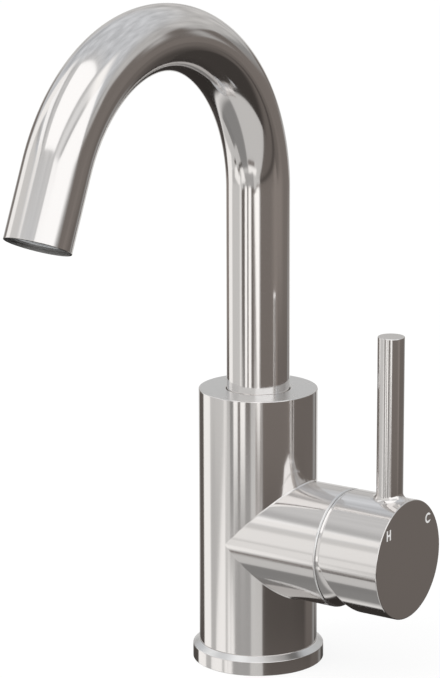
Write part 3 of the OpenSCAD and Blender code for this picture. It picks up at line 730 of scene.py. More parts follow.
@dataclass
class Handle:
    """The hub over the cartridge and its upright lever, one casting.

    The lever and the set screw's hole stand in windows of the hub's mesh. The lever's window starts at
    a share of the hub's length, and the fields of rows count the mesh's steps.
    """

    edge: float = 0.0004
    back_edge: float = 0.0009
    tilt: float = math.radians(25)
    cavity: float = 0.0246
    floor_x: float = 0.056
    stem_bore: float = 0.00403
    stem_bore_end: float = 0.0646
    lever_radius: float = 0.00535
    lever_inset: float = 0.0089
    fillet: float = 0.0026
    lever_window: int = 22
    screw_window: int = 12
    screw_x: float = 0.06025
    screw_radius: float = 0.0025
    screw_end: float = 0.0045
    face_step: float = 0.00004
    lever_start: float = 0.36
    start_rows: int = 6
    rim_rows: int = 4
    root_rows: int = 13
    lever_rows: int = 5
    edge_rows: int = 6
    back_rows: int = 4
    cavity_rows: int = 13
    radius: float = field(init=False)
    back: float = field(init=False)
    face: float = field(init=False)
    top: float = field(init=False)

    def __post_init__(self) -> None:
        """Reads the main sizes from the frame."""
        low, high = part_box("handle")
        self.radius = high.y
        self.back = low.x
        self.face = high.x - self.face_step
        self.top = high.z

    @property
    def lever_x(self) -> float:
        """Gives the place of the lever's axis along the branch."""
        return self.face - self.lever_inset

    @staticmethod
    def _points(x: np.ndarray, radial: np.ndarray, angle: np.ndarray) -> np.ndarray:
        """Gives points about the hub's axis, with the angle measured from straight up."""
        x, radial, angle = np.broadcast_arrays(x, radial, angle)
        return np.stack([x, radial * np.sin(angle), BRANCH_Z + radial * np.cos(angle)], -1)

    @staticmethod
    def _normals(x: np.ndarray, radial: np.ndarray, angle: np.ndarray) -> np.ndarray:
        """Gives vectors about the hub's axis, with the angle measured from straight up."""
        x, radial, angle = np.broadcast_arrays(x, radial, angle)
        return np.stack([x, radial * np.sin(angle), radial * np.cos(angle)], -1)

    def _back_x(self, radial: np.ndarray, angle: np.ndarray) -> np.ndarray:
        """Gives the place of the hub's back: square above the axis and sloped below it."""
        return self.back + np.maximum(-radial * np.cos(angle), 0) * math.tan(self.tilt)

    def _wall(self, skin: Skin) -> None:
        """Adds the hub's round wall, with the lever's root on top and the screw hole below.

        Args:
            skin: the surface that grows.
        """
        start = self._back_x(self.radius, FROM_FRONT) + self.back_edge
        stop = self.face - self.edge
        steps = spread((0, self.lever_start, self.start_rows), (self.lever_start, 1, self.lever_window))
        x = start + (stop - start) * steps[:, None]
        wide = np.broadcast_to(FROM_FRONT, x.shape)
        points, normals = self._points(x, self.radius, wide), self._normals(0, 1, wide)
        quarter = COLUMNS // 4
        half, small = self.lever_window // 2, self.screw_window // 2
        lever_columns = (quarter - half, quarter + half)
        screw_columns = (3 * quarter - small, 3 * quarter + small)
        lever_rows = (self.start_rows, self.start_rows + self.lever_window)
        screw_rows = (1, 1 + self.screw_window)
        middle = 2 * quarter
        skin.grid(points[:, :middle + 1], normals[:, :middle + 1], lever_rows + lever_columns)
        lower = (screw_rows + (screw_columns[0] - middle, screw_columns[1] - middle))
        skin.grid(points[:, middle:], normals[:, middle:], lower)
        self._lever(skin, window_loop(lever_rows, lever_columns, np.stack([wide, x], -1)))
        self._screw_hole(skin, window_loop(screw_rows, screw_columns, np.stack([wide, x], -1)))

    def _ring_rows(self, skin: Skin, rim: np.ndarray, hole: np.ndarray) -> None:
        """Adds rings on the hub's wall between two loops of angle and place.

        Args:
            skin: the surface that grows.
            rim: the outer loop.
            hole: the inner loop.
        """
        share = np.linspace(0, 1, self.rim_rows + 1)[:, None, None]
        loops = rim * (1 - share) + hole * share
        skin.grid(self._points(loops[..., 1], self.radius, loops[..., 0]), self._normals(0, 1, loops[..., 0]))

    def _lever(self, skin: Skin, rim: np.ndarray) -> None:
        """Adds the lever with a fillet that rolls round its root.

        Args:
            skin: the surface that grows.
            rim: the window's loop of angle and place on the hub.
        """
        flat = np.stack([rim[:, 1] - self.lever_x, self.radius * np.sin(rim[:, 0])], 1)
        turn = even_angles(flat)
        reach = self.lever_radius + self.fillet
        rise = np.sqrt((self.radius + self.fillet) ** 2 - (reach * np.sin(turn)) ** 2)
        ball = np.stack([self.lever_x + reach * np.cos(turn), reach * np.sin(turn), BRANCH_Z + rise], -1)
        hub_angle = np.arctan2(ball[:, 1], ball[:, 2] - BRANCH_Z)
        self._ring_rows(skin, rim, np.stack([hub_angle, ball[:, 0]], -1))
        low = self._points(ball[:, 0], self.radius, hub_angle) - ball
        high = np.stack([-self.fillet * np.cos(turn), -self.fillet * np.sin(turn), 0 * turn], -1)
        opening = np.arccos(np.einsum("ij,ij->i", low, high) / self.fillet ** 2)[:, None]
        share = np.linspace(0, 1, self.root_rows)[:, None, None]
        spokes = (np.sin((1 - share) * opening) * low + np.sin(share * opening) * high) / np.sin(opening)
        skin.grid(ball + spokes, -spokes / self.fillet)
        stop = self.top - self.edge
        height = ball[:, 2] + (stop - ball[:, 2]) * np.linspace(0, 1, self.lever_rows)[:, None]
        axis = Axis((self.lever_x, 0, 0), (0, 0, 1), (1, 0, 0), (0, 1, 0))
        skin.grid(axis.points(self.lever_radius, height, turn),
                  axis.vectors(1, 0, np.broadcast_to(turn, height.shape)))
        turn_runs(skin, end_runs(self.lever_radius, BRANCH_Z, self.top, self.edge), axis, turn)

    def _screw_hole(self, skin: Skin, rim: np.ndarray) -> None:
        """Adds the hole for the set screw and its cap, in the underside.

        Args:
            skin: the surface that grows.
            rim: the window's loop of angle and place on the hub.
        """
        flat = np.stack([rim[:, 1] - self.screw_x, self.radius * np.sin(rim[:, 0])], 1)
        turn = even_angles(flat)
        y = self.screw_radius * np.sin(turn)
        x = self.screw_x + self.screw_radius * np.cos(turn)
        angle = TURN / 2 - np.arcsin(y / self.radius)
        self._ring_rows(skin, rim, np.stack([angle, x], -1))
        edge = self._points(x, self.radius, angle)
        end = edge.copy()
        end[:, 2] = BRANCH_Z - self.screw_end
        inward = -np.stack([np.cos(turn), np.sin(turn), 0 * turn], -1)
        skin.grid(np.stack([edge, end]), np.stack([inward, inward]))
        centre = np.broadcast_to([self.screw_x, 0, BRANCH_Z - self.screw_end], end.shape)
        skin.grid(np.stack([end, centre]), np.array([0.0, 0.0, -1.0]))

    def _back_and_cavity(self, skin: Skin) -> None:
        """Adds the hub's back, square above and sloped below, and its round cavity.

        Args:
            skin: the surface that grows.
        """
        slope = (-math.cos(self.tilt), 0, -math.sin(self.tilt))
        floor_angle = math.acos((self.floor_x - PIVOT_X) / self.cavity)
        gap = self.back - PIVOT_X
        for low, high, facing in ((-TURN / 4, TURN / 4, (-1, 0, 0)), (TURN / 4, TURN * 3 / 4, slope)):
            angles = np.linspace(low, high, COLUMNS // 2 + 1)
            # The rounded edge of the back
            edge_x = self._back_x(self.radius, angles)
            inner = self.radius - self.back_edge
            corner = self._points(edge_x, self.radius, angles)
            wall = self._points(edge_x + self.back_edge, self.radius, angles)
            plane = self._points(self._back_x(inner, angles), inner, angles)
            share = np.linspace(0, 1, self.edge_rows)[:, None, None]
            curve = (1 - share) ** 2 * wall + 2 * share * (1 - share) * corner + share ** 2 * plane
            normals = (1 - share) * self._normals(0, 1, angles) + share * np.array(facing, float)
            skin.grid(curve, normals / np.linalg.norm(normals, axis=-1, keepdims=True))
            # The back itself, in to the cavity's mouth
            lean = np.maximum(-np.cos(angles), 0) * math.tan(self.tilt)
            root = np.sqrt((gap * lean) ** 2 - (1 + lean ** 2) * (gap ** 2 - self.cavity ** 2))
            mouth = (-gap * lean + root) / (1 + lean ** 2)
            radial = inner + (mouth - inner) * np.linspace(0, 1, self.back_rows)[:, None]
            skin.grid(self._points(self._back_x(radial, angles), radial, angles), np.array(facing, float))
            # The round cavity, down to its floor
            outer_angle = np.arcsin(mouth / self.cavity)
            polar = outer_angle + (floor_angle - outer_angle) * np.linspace(0, 1, self.cavity_rows)[:, None]
            x, radial = PIVOT_X + self.cavity * np.cos(polar), self.cavity * np.sin(polar)
            skin.grid(self._points(x, radial, angles), -self._normals(np.cos(polar), np.sin(polar), angles))

    def casting(self) -> bpy.types.Object:
        """Builds the hub and lever as one closed mesh.

        Returns:
            The object.
        """
        skin = Skin()
        self._wall(skin)
        self._back_and_cavity(skin)
        floor_radius = math.sqrt(self.cavity ** 2 - (self.floor_x - PIVOT_X) ** 2)
        stops = [(floor_radius, self.floor_x), (self.stem_bore, self.floor_x),
                 (self.stem_bore, self.stem_bore_end), (0, self.stem_bore_end)]
        runs = end_runs(self.radius, self.floor_x, self.face, self.edge)
        runs += straight_runs(stops, [(0, -1), (-1, 0), (0, -1)])
        axis = Axis((0, 0, BRANCH_Z), (1, 0, 0), (0, 0, 1), (0, 1, 0))
        turn_runs(skin, runs, axis, FROM_FRONT)
        return skin.build("lever_casting")

    def build(self) -> None:
        """Builds the casting and dresses it."""
        dress(self.casting(), Slot.CHROME, Body.LEVER, "handle")


# The sockets of the mix node that hold colours
COLOUR_A, COLOUR_B, COLOUR_RESULT = 6, 7, 2


class Tree:
    """Adds nodes to a node tree and links them in few words."""

    def __init__(self, tree: bpy.types.NodeTree) -> None:
        """Keeps the tree."""
        self.tree = tree

    def add(self, kind: str, inputs: Optional[dict[object, object]] = None,
            **settings: object) -> bpy.types.Node:
        """Adds a node.

        Args:
            kind: the node's type.
            inputs: a socket or a value for each input, by name or number.
            settings: values of the node's own properties.

        Returns:
            The node.
        """
        node = self.tree.nodes.new(kind)
        for key, value in settings.items():
            setattr(node, key, value)
        self.fill(node, inputs or {})
        return node

    def fill(self, node: bpy.types.Node, inputs: dict[object, object]) -> None:
        """Links or sets the inputs of a node.

        Args:
            node: the node.
            inputs: a socket or a value for each input, by name or number.
        """
        for key, value in inputs.items():
            if isinstance(value, bpy.types.NodeSocket):
                self.tree.links.new(value, node.inputs[key])
            else:
                node.inputs[key].default_value = value

    def math(self, operation: str, *values: object) -> bpy.types.NodeSocket:
        """Adds a math node and returns its result."""
        return self.add("ShaderNodeMath", dict(enumerate(values)), operation=operation).outputs[0]

    def blend(self, share: object, first: object, second: object) -> bpy.types.NodeSocket:
        """Adds a node that mixes two colours and returns its result."""
        inputs = {0: share, COLOUR_A: first, COLOUR_B: second}
        return self.add("ShaderNodeMix", inputs, data_type="RGBA").outputs[COLOUR_RESULT]

    def joined(self, *parts: bpy.types.NodeSocket) -> bpy.types.NodeSocket:
        """Adds a node that joins geometry.

        Args:
            parts: the geometry.

        Returns:
            The joined geometry.
        """
        node = self.add("GeometryNodeJoinGeometry")
        for part in parts:
            self.tree.links.new(part, node.inputs[0])
        return node.outputs[0]


@dataclass
class Sweep:
    """Geometry nodes that wrap a closed outline round an upright, an arch and an outlet leg."""

    around: int
    start: float
    rise: float
    arch_radius: float
    bend: float

    def _tree(self) -> bpy.types.NodeTree:
        """Builds the node tree, with a named input for each size.

        Returns:
            The tree.
        """
        tree = bpy.data.node_groups.new("swept_tube", "GeometryNodeTree")
        face = tree.interface
        face.new_socket("Outline", in_out="INPUT", socket_type="NodeSocketGeometry")
        face.new_socket("Around", in_out="INPUT", socket_type="NodeSocketInt")
        for name in ("Start", "Rise", "Arch Radius", "Bend"):
            face.new_socket(name, in_out="INPUT", socket_type="NodeSocketFloat")
        face.new_socket("Material", in_out="INPUT", socket_type="NodeSocketMaterial")
        face.new_socket("Tube", in_out="OUTPUT", socket_type="NodeSocketGeometry")
        t = Tree(tree)
        given = t.add("NodeGroupInput").outputs
        size = t.add("GeometryNodeAttributeDomainSize", {"Geometry": given["Outline"]})
        stations = size.outputs["Point Count"]
        columns = t.math("ADD", given["Around"], 1.0)
        rows = t.math("ADD", stations, 1.0)
        grid = t.add("GeometryNodeMeshGrid", {"Vertices X": rows, "Vertices Y": columns})
        index = t.add("GeometryNodeInputIndex").outputs[0]
        row = t.math("MODULO", t.math("FLOOR", t.math("DIVIDE", index, columns)), stations)
        angle = t.math("MULTIPLY", t.math("DIVIDE", t.math("MODULO", index, columns), given["Around"]), TURN)
        place = self._sample(t, given["Outline"], t.add("GeometryNodeInputPosition").outputs[0], row)
        named = t.add("GeometryNodeInputNamedAttribute", {"Name": FACING}, data_type="FLOAT_VECTOR")
        facing = self._sample(t, given["Outline"], named.outputs[0], row)
        beyond = t.math("SUBTRACT", place["Z"], given["Rise"])
        past_rise = t.math("MAXIMUM", t.math("DIVIDE", beyond, given["Arch Radius"]), 0.0)
        turn = t.math("MINIMUM", past_rise, given["Bend"])
        arch = t.math("MULTIPLY", given["Arch Radius"], given["Bend"])
        rest = t.math("MAXIMUM", t.math("SUBTRACT", beyond, arch), 0.0)
        sine, cosine = t.math("SINE", turn), t.math("COSINE", turn)
        out = t.math("MULTIPLY", given["Arch Radius"], t.math("SUBTRACT", 1.0, cosine))
        forward = t.math("ADD", out, t.math("MULTIPLY", rest, sine))
        upright = t.math("ADD", given["Start"], t.math("MINIMUM", place["Z"], given["Rise"]))
        above = t.math("MULTIPLY", given["Arch Radius"], sine)
        height = t.math("ADD", upright, t.math("ADD", above, t.math("MULTIPLY", rest, cosine)))
        middle = t.add("ShaderNodeCombineXYZ", {1: t.math("MULTIPLY", forward, -1.0), 2: height}).outputs[0]
        ahead = t.add("ShaderNodeCombineXYZ", {1: t.math("MULTIPLY", sine, -1.0), 2: cosine}).outputs[0]
        across = t.math("SINE", angle)
        spoke = t.add("ShaderNodeCombineXYZ", {0: t.math("COSINE", angle),
                                               1: t.math("MULTIPLY", across, cosine),
                                               2: t.math("MULTIPLY", across, sine)}).outputs[0]
        spot = self._mix(t, spoke, place["X"], middle, 1.0)
        normal = self._mix(t, spoke, facing["X"], ahead, facing["Z"])
        stored = t.add("GeometryNodeStoreNamedAttribute", {"Geometry": grid.outputs["Mesh"], "Name": FACING,
                                                           "Value": normal}, data_type="FLOAT_VECTOR")
        moved = t.add("GeometryNodeSetPosition", {"Geometry": stored.outputs[0], "Position": spot}).outputs[0]
        merged = t.add("GeometryNodeMergeByDistance", {"Geometry": moved, "Distance": WELD}).outputs[0]
        outward = t.add("GeometryNodeFlipFaces", {"Mesh": merged}).outputs[0]
        real = t.add("GeometryNodeRealizeInstances", {"Geometry": outward}).outputs[0]
        dressed = t.add("GeometryNodeSetMaterial", {"Geometry": real, "Material": given["Material"]})
        t.add("NodeGroupOutput", {"Tube": dressed.outputs[0]})
        return tree

    @staticmethod
    def _sample(t: Tree, outline: bpy.types.NodeSocket, value: bpy.types.NodeSocket,
                row: bpy.types.NodeSocket) -> dict[str, bpy.types.NodeSocket]:
        """Reads a vector at a point of the outline.

        Args:
            t: the tree.
            outline: the outline's geometry.
            value: the vector that is read.
            row: the point's number.

        Returns:
            The vector's X, Y and Z.
        """
        sample = t.add("GeometryNodeSampleIndex", {"Geometry": outline, "Value": value, "Index": row},
                       data_type="FLOAT_VECTOR")
        parts = t.add("ShaderNodeSeparateXYZ", {0: sample.outputs[0]}).outputs
        return {"X": parts[0], "Y": parts[1], "Z": parts[2]}

    @staticmethod
    def _mix(t: Tree, first: bpy.types.NodeSocket, first_scale: object, second: bpy.types.NodeSocket,
             second_scale: object) -> bpy.types.NodeSocket:
        """Adds two scaled vectors.

        Args:
            t: the tree.
            first: a vector.
            first_scale: what it is multiplied by.
            second: another vector.
            second_scale: what that one is multiplied by.

        Returns:
            The sum.
        """
        one = t.add("ShaderNodeVectorMath", {0: first, "Scale": first_scale}, operation="SCALE").outputs[0]
        two = t.add("ShaderNodeVectorMath", {0: second, "Scale": second_scale}, operation="SCALE").outputs[0]
        return t.add("ShaderNodeVectorMath", {0: one, 1: two}, operation="ADD").outputs[0]

    def run(self, name: str, runs: Sequence[Run], step: float,
            material: bpy.types.Material) -> bpy.types.Object:
        """Wraps an outline round the path.

        Args:
            name: the new object's name.
            runs: the outline, in distance from the path's line and place along it.
            step: the greatest length of a straight stretch.
            material: the tube's material.

        Returns:
            The tube as a plain mesh object.
        """
        places, facings = [], []
        for line, facing in runs:
            if len(line) == 2:
                count = max(1, math.ceil(np.linalg.norm(line[1] - line[0]) / step))
                share = np.linspace(0, 1, count + 1)[:, None]
                line = line[0] * (1 - share) + line[1] * share
                facing = np.repeat(facing[:1], count + 1, 0)
            places.append(line[:-1])
            facings.append(facing[:-1])
        place, facing = np.concatenate(places), np.concatenate(facings)
        mesh = bpy.data.meshes.new(name + "_outline")
        mesh.from_pydata([(x, 0, z) for x, z in place], [], [])
        layer = mesh.attributes.new(FACING, "FLOAT_VECTOR", "POINT")
        layer.data.foreach_set("vector", [v for x, z in facing for v in (x, 0, z)])
        source = bpy.data.objects.new(name + "_outline", mesh)
        bpy.context.scene.collection.objects.link(source)
        values = {"Around": self.around, "Start": self.start, "Rise": self.rise,
                  "Arch Radius": self.arch_radius, "Bend": self.bend, "Material": material}
        piece = grown(name, source, self._tree(), values)
        set_facing(piece)
        return piece


def grown(name: str, source: bpy.types.Object, tree: bpy.types.NodeTree,
          values: dict[str, object]) -> bpy.types.Object:
    """Runs a geometry node tree on an object and keeps the result as a plain mesh.

    Args:
        name: the new object's name.
        source: the object that the tree starts from, which is removed.
        tree: the node tree.
        values: the value of each named input.

    Returns:
        The new object.
    """
    modifier = source.modifiers.new(tree.name, "NODES")
    modifier.node_group = tree
    for item in tree.interface.items_tree:
        if item.in_out == "INPUT" and item.name in values:
            modifier[item.identifier] = values[item.name]
    ready = source.evaluated_get(bpy.context.evaluated_depsgraph_get())
    mesh = bpy.data.meshes.new_from_object(ready)
    mesh.name = name
    piece = bpy.data.objects.new(name, mesh)
    bpy.context.scene.collection.objects.link(piece)
    source.modifiers.remove(modifier)
    bpy.data.objects.remove(source)
    LOG.info("%s: %d faces", name, len(mesh.polygons))
    return piece


@dataclass
class Honeycomb:
    """Geometry nodes that punch a round plate with a honeycomb of holes."""

    radius: float
    thickness: float = 0.0016
    pitch: float = 0.0027
    cell: float = 0.00125
    rings: int = 3
    sides: int = 96

    @staticmethod
    def _tree() -> bpy.types.NodeTree:
        """Builds the node tree, with a named input for each size.

        Returns:
            The tree.
        """
        tree = bpy.data.node_groups.new("honeycomb_plate", "GeometryNodeTree")
        face = tree.interface
        for name in ("Radius", "Thickness", "Pitch", "Cell"):
            face.new_socket(name, in_out="INPUT", socket_type="NodeSocketFloat")
        for name in ("Rings", "Sides"):
            face.new_socket(name, in_out="INPUT", socket_type="NodeSocketInt")
        for name in ("Place", "Turn"):
            face.new_socket(name, in_out="INPUT", socket_type="NodeSocketVector")
        face.new_socket("Material", in_out="INPUT", socket_type="NodeSocketMaterial")
        face.new_socket("Plate", in_out="OUTPUT", socket_type="NodeSocketGeometry")
        t = Tree(tree)
        given = t.add("NodeGroupInput").outputs
        size = t.math("MULTIPLY_ADD", given["Rings"], 2.0, 1.0)
        grid = t.add("GeometryNodeMeshGrid", {"Vertices X": size, "Vertices Y": size}).outputs["Mesh"]
        index = t.add("GeometryNodeInputIndex").outputs[0]
        row = t.math("SUBTRACT", t.math("FLOOR", t.math("DIVIDE", index, size)), given["Rings"])
        column = t.math("SUBTRACT", t.math("MODULO", index, size), given["Rings"])
        across = t.math("MULTIPLY", given["Pitch"], t.math("MULTIPLY_ADD", row, 0.5, column))
        along = t.math("MULTIPLY", t.math("MULTIPLY", given["Pitch"], row), math.sqrt(3) / 2)
        spot = t.add("ShaderNodeCombineXYZ", {0: across, 1: along}).outputs[0]
        points = t.add("GeometryNodeSetPosition", {"Geometry": grid, "Position": spot}).outputs[0]
        outside = t.math("GREATER_THAN", t.math("ABSOLUTE", t.math("ADD", row, column)), given["Rings"])
        hexagon = t.add("GeometryNodeCurvePrimitiveCircle", {"Resolution": 6, "Radius": given["Cell"]})
        holes = t.add("GeometryNodeInstanceOnPoints", {"Points": points, "Instance": hexagon.outputs[0],
                                                       "Selection": t.math("SUBTRACT", 1.0, outside),
                                                       "Rotation": (0, 0, TURN / 12)}).outputs[0]
        rim = t.add("GeometryNodeCurvePrimitiveCircle", {"Resolution": given["Sides"],
                                                         "Radius": given["Radius"]}).outputs[0]
        lines = t.add("GeometryNodeRealizeInstances", {"Geometry": t.joined(rim, holes)}).outputs[0]
        low = t.add("GeometryNodeFillCurve", {"Curve": lines}).outputs[0]
        high = t.add("GeometryNodeExtrudeMesh", {"Mesh": low, "Offset Scale": given["Thickness"],
                                                 "Individual": False}).outputs[0]
        under = t.add("GeometryNodeFlipFaces", {"Mesh": low}).outputs[0]
        merged = t.add("GeometryNodeMergeByDistance", {"Geometry": t.joined(high, under),
                                                       "Distance": WELD}).outputs[0]
        placed = t.add("GeometryNodeTransform", {"Geometry": merged, "Translation": given["Place"],
                                                 "Rotation": given["Turn"]}).outputs[0]
        real = t.add("GeometryNodeRealizeInstances", {"Geometry": placed}).outputs[0]
        dressed = t.add("GeometryNodeSetMaterial", {"Geometry": real, "Material": given["Material"]})
        t.add("NodeGroupOutput", {"Plate": dressed.outputs[0]})
        return tree

    def plate(self, name: str, place: Sequence[float], turn: float,
              material: bpy.types.Material) -> bpy.types.Object:
        """Punches the plate and puts it in its place.

        Args:
            name: the new object's name.
            place: the middle of its inner face.
            turn: the angle that it is turned by about the X axis, from facing up.
            material: its material.

        Returns:
            The plate as a plain mesh object.
        """
        start = bpy.data.objects.new(name + "_start", bpy.data.meshes.new(name + "_start"))
        bpy.context.scene.collection.objects.link(start)
        values = {"Radius": self.radius, "Thickness": self.thickness, "Pitch": self.pitch, "Cell": self.cell,
                  "Rings": self.rings, "Sides": self.sides, "Place": tuple(place), "Turn": (turn, 0.0, 0.0),
                  "Material": material}
        return grown(name, start, self._tree(), values)


@dataclass
class Spout:
    """The bent tube and the insert in its outlet."""

    wall: float = 0.001
    arch_radius: float = 0.0669
    bend: float = math.radians(156.5)
    leg: float = 0.0296
    recess: float = 0.0027
    rim: float = 0.0003
    around: int = 128
    step: float = 0.0019
    radius: float = field(init=False)
    low: float = field(init=False)
    arch_z: float = field(init=False)

    def __post_init__(self) -> None:
        """Reads the main sizes from the frame."""
        low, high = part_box("spout_tube")
        self.radius = high.x
        self.low = low.z
        self.arch_z = high.z - self.arch_radius - self.radius

    def tube(self, material: bpy.types.Material) -> bpy.types.Object:
        """Builds the tube as one closed mesh.

        Args:
            material: its material.

        Returns:
            The object.
        """
        rise = self.arch_z - self.low
        length = rise + self.arch_radius * self.bend + self.leg
        bore = self.radius - self.wall
        corners = [(bore, 0, self.rim), (self.radius, 0, self.rim),
                   (self.radius, length, self.rim), (bore, length, self.rim)]
        sweep = Sweep(self.around, self.low, rise, self.arch_radius, self.bend)
        return sweep.run("spout_pipe", rounded_outline(corners), self.step, material)

    def _on_leg(self, along: float) -> np.ndarray:
        """Gives the point of the outlet leg's line at a distance from the end of the arch."""
        start = self.arch_radius * np.array([0, math.cos(self.bend) - 1, math.sin(self.bend)])
        return start + np.array([0, 0, self.arch_z]) + along * self._ahead()

    def _ahead(self) -> np.ndarray:
        """Gives the direction of the outlet leg."""
        return np.array([0, -math.sin(self.bend), math.cos(self.bend)])

    def dull_and_shade_bore(self, pipe: bpy.types.Object) -> None:
        """Gives the outlet leg's cut end and bore an unpolished finish, with painted shade in its dark colour.

        Args:
            pipe: the tube.
        """
        pipe.data.materials.append(DULL_AND_SHADED.material())
        centres = np.zeros(len(pipe.data.polygons) * 3, np.float32)
        pipe.data.polygons.foreach_get("center", centres)
        away = centres.reshape(-1, 3) - self._on_leg(0)
        along = away @ self._ahead()
        radial = np.linalg.norm(away - along[:, None] * self._ahead(), axis=1)
        # The faces inside the outlet leg take the dark chrome, whose colour paints the shade there
        inside = (along > 0) & (radial < self.radius - self.rim / 4)
        pipe.data.polygons.foreach_set("material_index", inside.astype(np.int32))

    def grille(self, material: bpy.types.Material) -> bpy.types.Object:
        """Builds the honeycomb in the outlet.

        Args:
            material: its material.

        Returns:
            The object.
        """
        plate = Honeycomb(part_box("aerator_grille")[1].x)
        place = self._on_leg(self.leg - self.recess - plate.thickness)
        return plate.plate("aerator_honeycomb", place.tolist(), self.bend, material)

    def build(self) -> None:
        """Builds the tube and the honeycomb and dresses them."""
        pipe = self.tube(FINISHES[Slot.CHROME].material())
        dress(pipe, Slot.CHROME, Body.SPOUT, "spout_tube")
        self.dull_and_shade_bore(pipe)
        plastic = Slot.AERATOR_PLASTIC
        dress(self.grille(FINISHES[plastic].material()), plastic, Body.SPOUT, "aerator_grille")


class Texture(Enum):
    """What the surface of a finish is covered with."""

    POLISHED = "polished"
    TURNED = "turned"
    MOULDED = "moulded"


# How much finer the relief is than the clouds, and the stretch of the clouds that the roughness follows
FINER = {Texture.POLISHED: 9.0, Texture.TURNED: 40.0, Texture.MOULDED: 14.0}
CLOUD_LOW, CLOUD_HIGH = 0.3, 0.7


def surface_group(texture: Texture) -> bpy.types.NodeTree:
    """Builds, once, the shader node group of one kind of surface.

    Args:
        texture: the kind of surface.

    Returns:
        The group, with Vector, Scale and Detail inputs and Cloud and Relief outputs.
    """
    name = f"{texture.value}_surface"
    if name in bpy.data.node_groups:
        return bpy.data.node_groups[name]
    tree = bpy.data.node_groups.new(name, "ShaderNodeTree")
    face = tree.interface
    face.new_socket("Vector", in_out="INPUT", socket_type="NodeSocketVector")
    face.new_socket("Scale", in_out="INPUT", socket_type="NodeSocketFloat")
    face.new_socket("Detail", in_out="INPUT", socket_type="NodeSocketFloat")
    face.new_socket("Cloud", in_out="OUTPUT", socket_type="NodeSocketFloat")
    face.new_socket("Relief", in_out="OUTPUT", socket_type="NodeSocketFloat")
    t = Tree(tree)
    given = t.add("NodeGroupInput").outputs
    cloud = t.add("ShaderNodeTexNoise", {"Vector": given["Vector"], "Scale": given["Scale"],
                                         "Detail": given["Detail"], "Roughness": 0.6}).outputs[0]
    fine_scale = t.math("MULTIPLY", given["Scale"], FINER[texture])
    if texture is Texture.POLISHED:
        relief = t.add("ShaderNodeTexNoise", {"Vector": given["Vector"], "Scale": fine_scale,
                                              "Detail": 1.0}).outputs[0]
    elif texture is Texture.TURNED:
        rings = t.add("ShaderNodeTexWave", {"Vector": given["Vector"], "Scale": fine_scale, "Distortion": 0.6,
                                            "Detail": 2.0}, bands_direction="Z").outputs["Fac"]
        relief = t.math("MULTIPLY", rings, cloud)
    else:
        relief = t.add("ShaderNodeTexVoronoi", {"Vector": given["Vector"],
                                                "Scale": fine_scale}).outputs["Distance"]
    t.add("NodeGroupOutput", {"Cloud": cloud, "Relief": relief})
    return tree


@dataclass(frozen=True)
class Finish:
    """A procedural finish: two near colours, a range of roughness and a fine relief."""

    slot: Slot
    texture: Texture
    colour: tuple[float, float, float]
    second: tuple[float, float, float]
    roughness: tuple[float, float]
    metallic: float = 0.0
    scale: float = 120.0
    detail: float = 3.0
    relief: float = 0.00002
    coat: float = 0.0
    coat_roughness: float = 0.08
    name: str = ""

    def material(self) -> bpy.types.Material:
        """Builds the material, if it isn't there yet.

        Returns:
            The material.
        """
        name = self.name or self.slot.value
        if name in bpy.data.materials:
            return bpy.data.materials[name]
        material = bpy.data.materials.new(name)
        material.use_nodes = True
        material.node_tree.nodes.clear()
        t = Tree(material.node_tree)
        place = t.add("ShaderNodeTexCoord").outputs["Object"]
        group = t.add("ShaderNodeGroup", node_tree=surface_group(self.texture))
        t.fill(group, {"Vector": place, "Scale": self.scale, "Detail": self.detail})
        cloud, relief = group.outputs["Cloud"], group.outputs["Relief"]
        colour = t.blend(cloud, (*self.colour, 1), (*self.second, 1))
        rough = t.add("ShaderNodeMapRange", {"Value": cloud, "From Min": CLOUD_LOW, "From Max": CLOUD_HIGH,
                                             "To Min": self.roughness[0], "To Max": self.roughness[1]})
        bump = t.add("ShaderNodeBump", {"Height": relief, "Strength": 1.0, "Distance": self.relief})
        shader = t.add("ShaderNodeBsdfPrincipled", {"Base Color": colour, "Roughness": rough.outputs[0],
                                                    "Normal": bump.outputs[0], "Metallic": self.metallic,
                                                    "Coat Weight": self.coat,
                                                    "Coat Roughness": self.coat_roughness})
        t.add("ShaderNodeOutputMaterial", {"Surface": shader.outputs[0]})
        return material


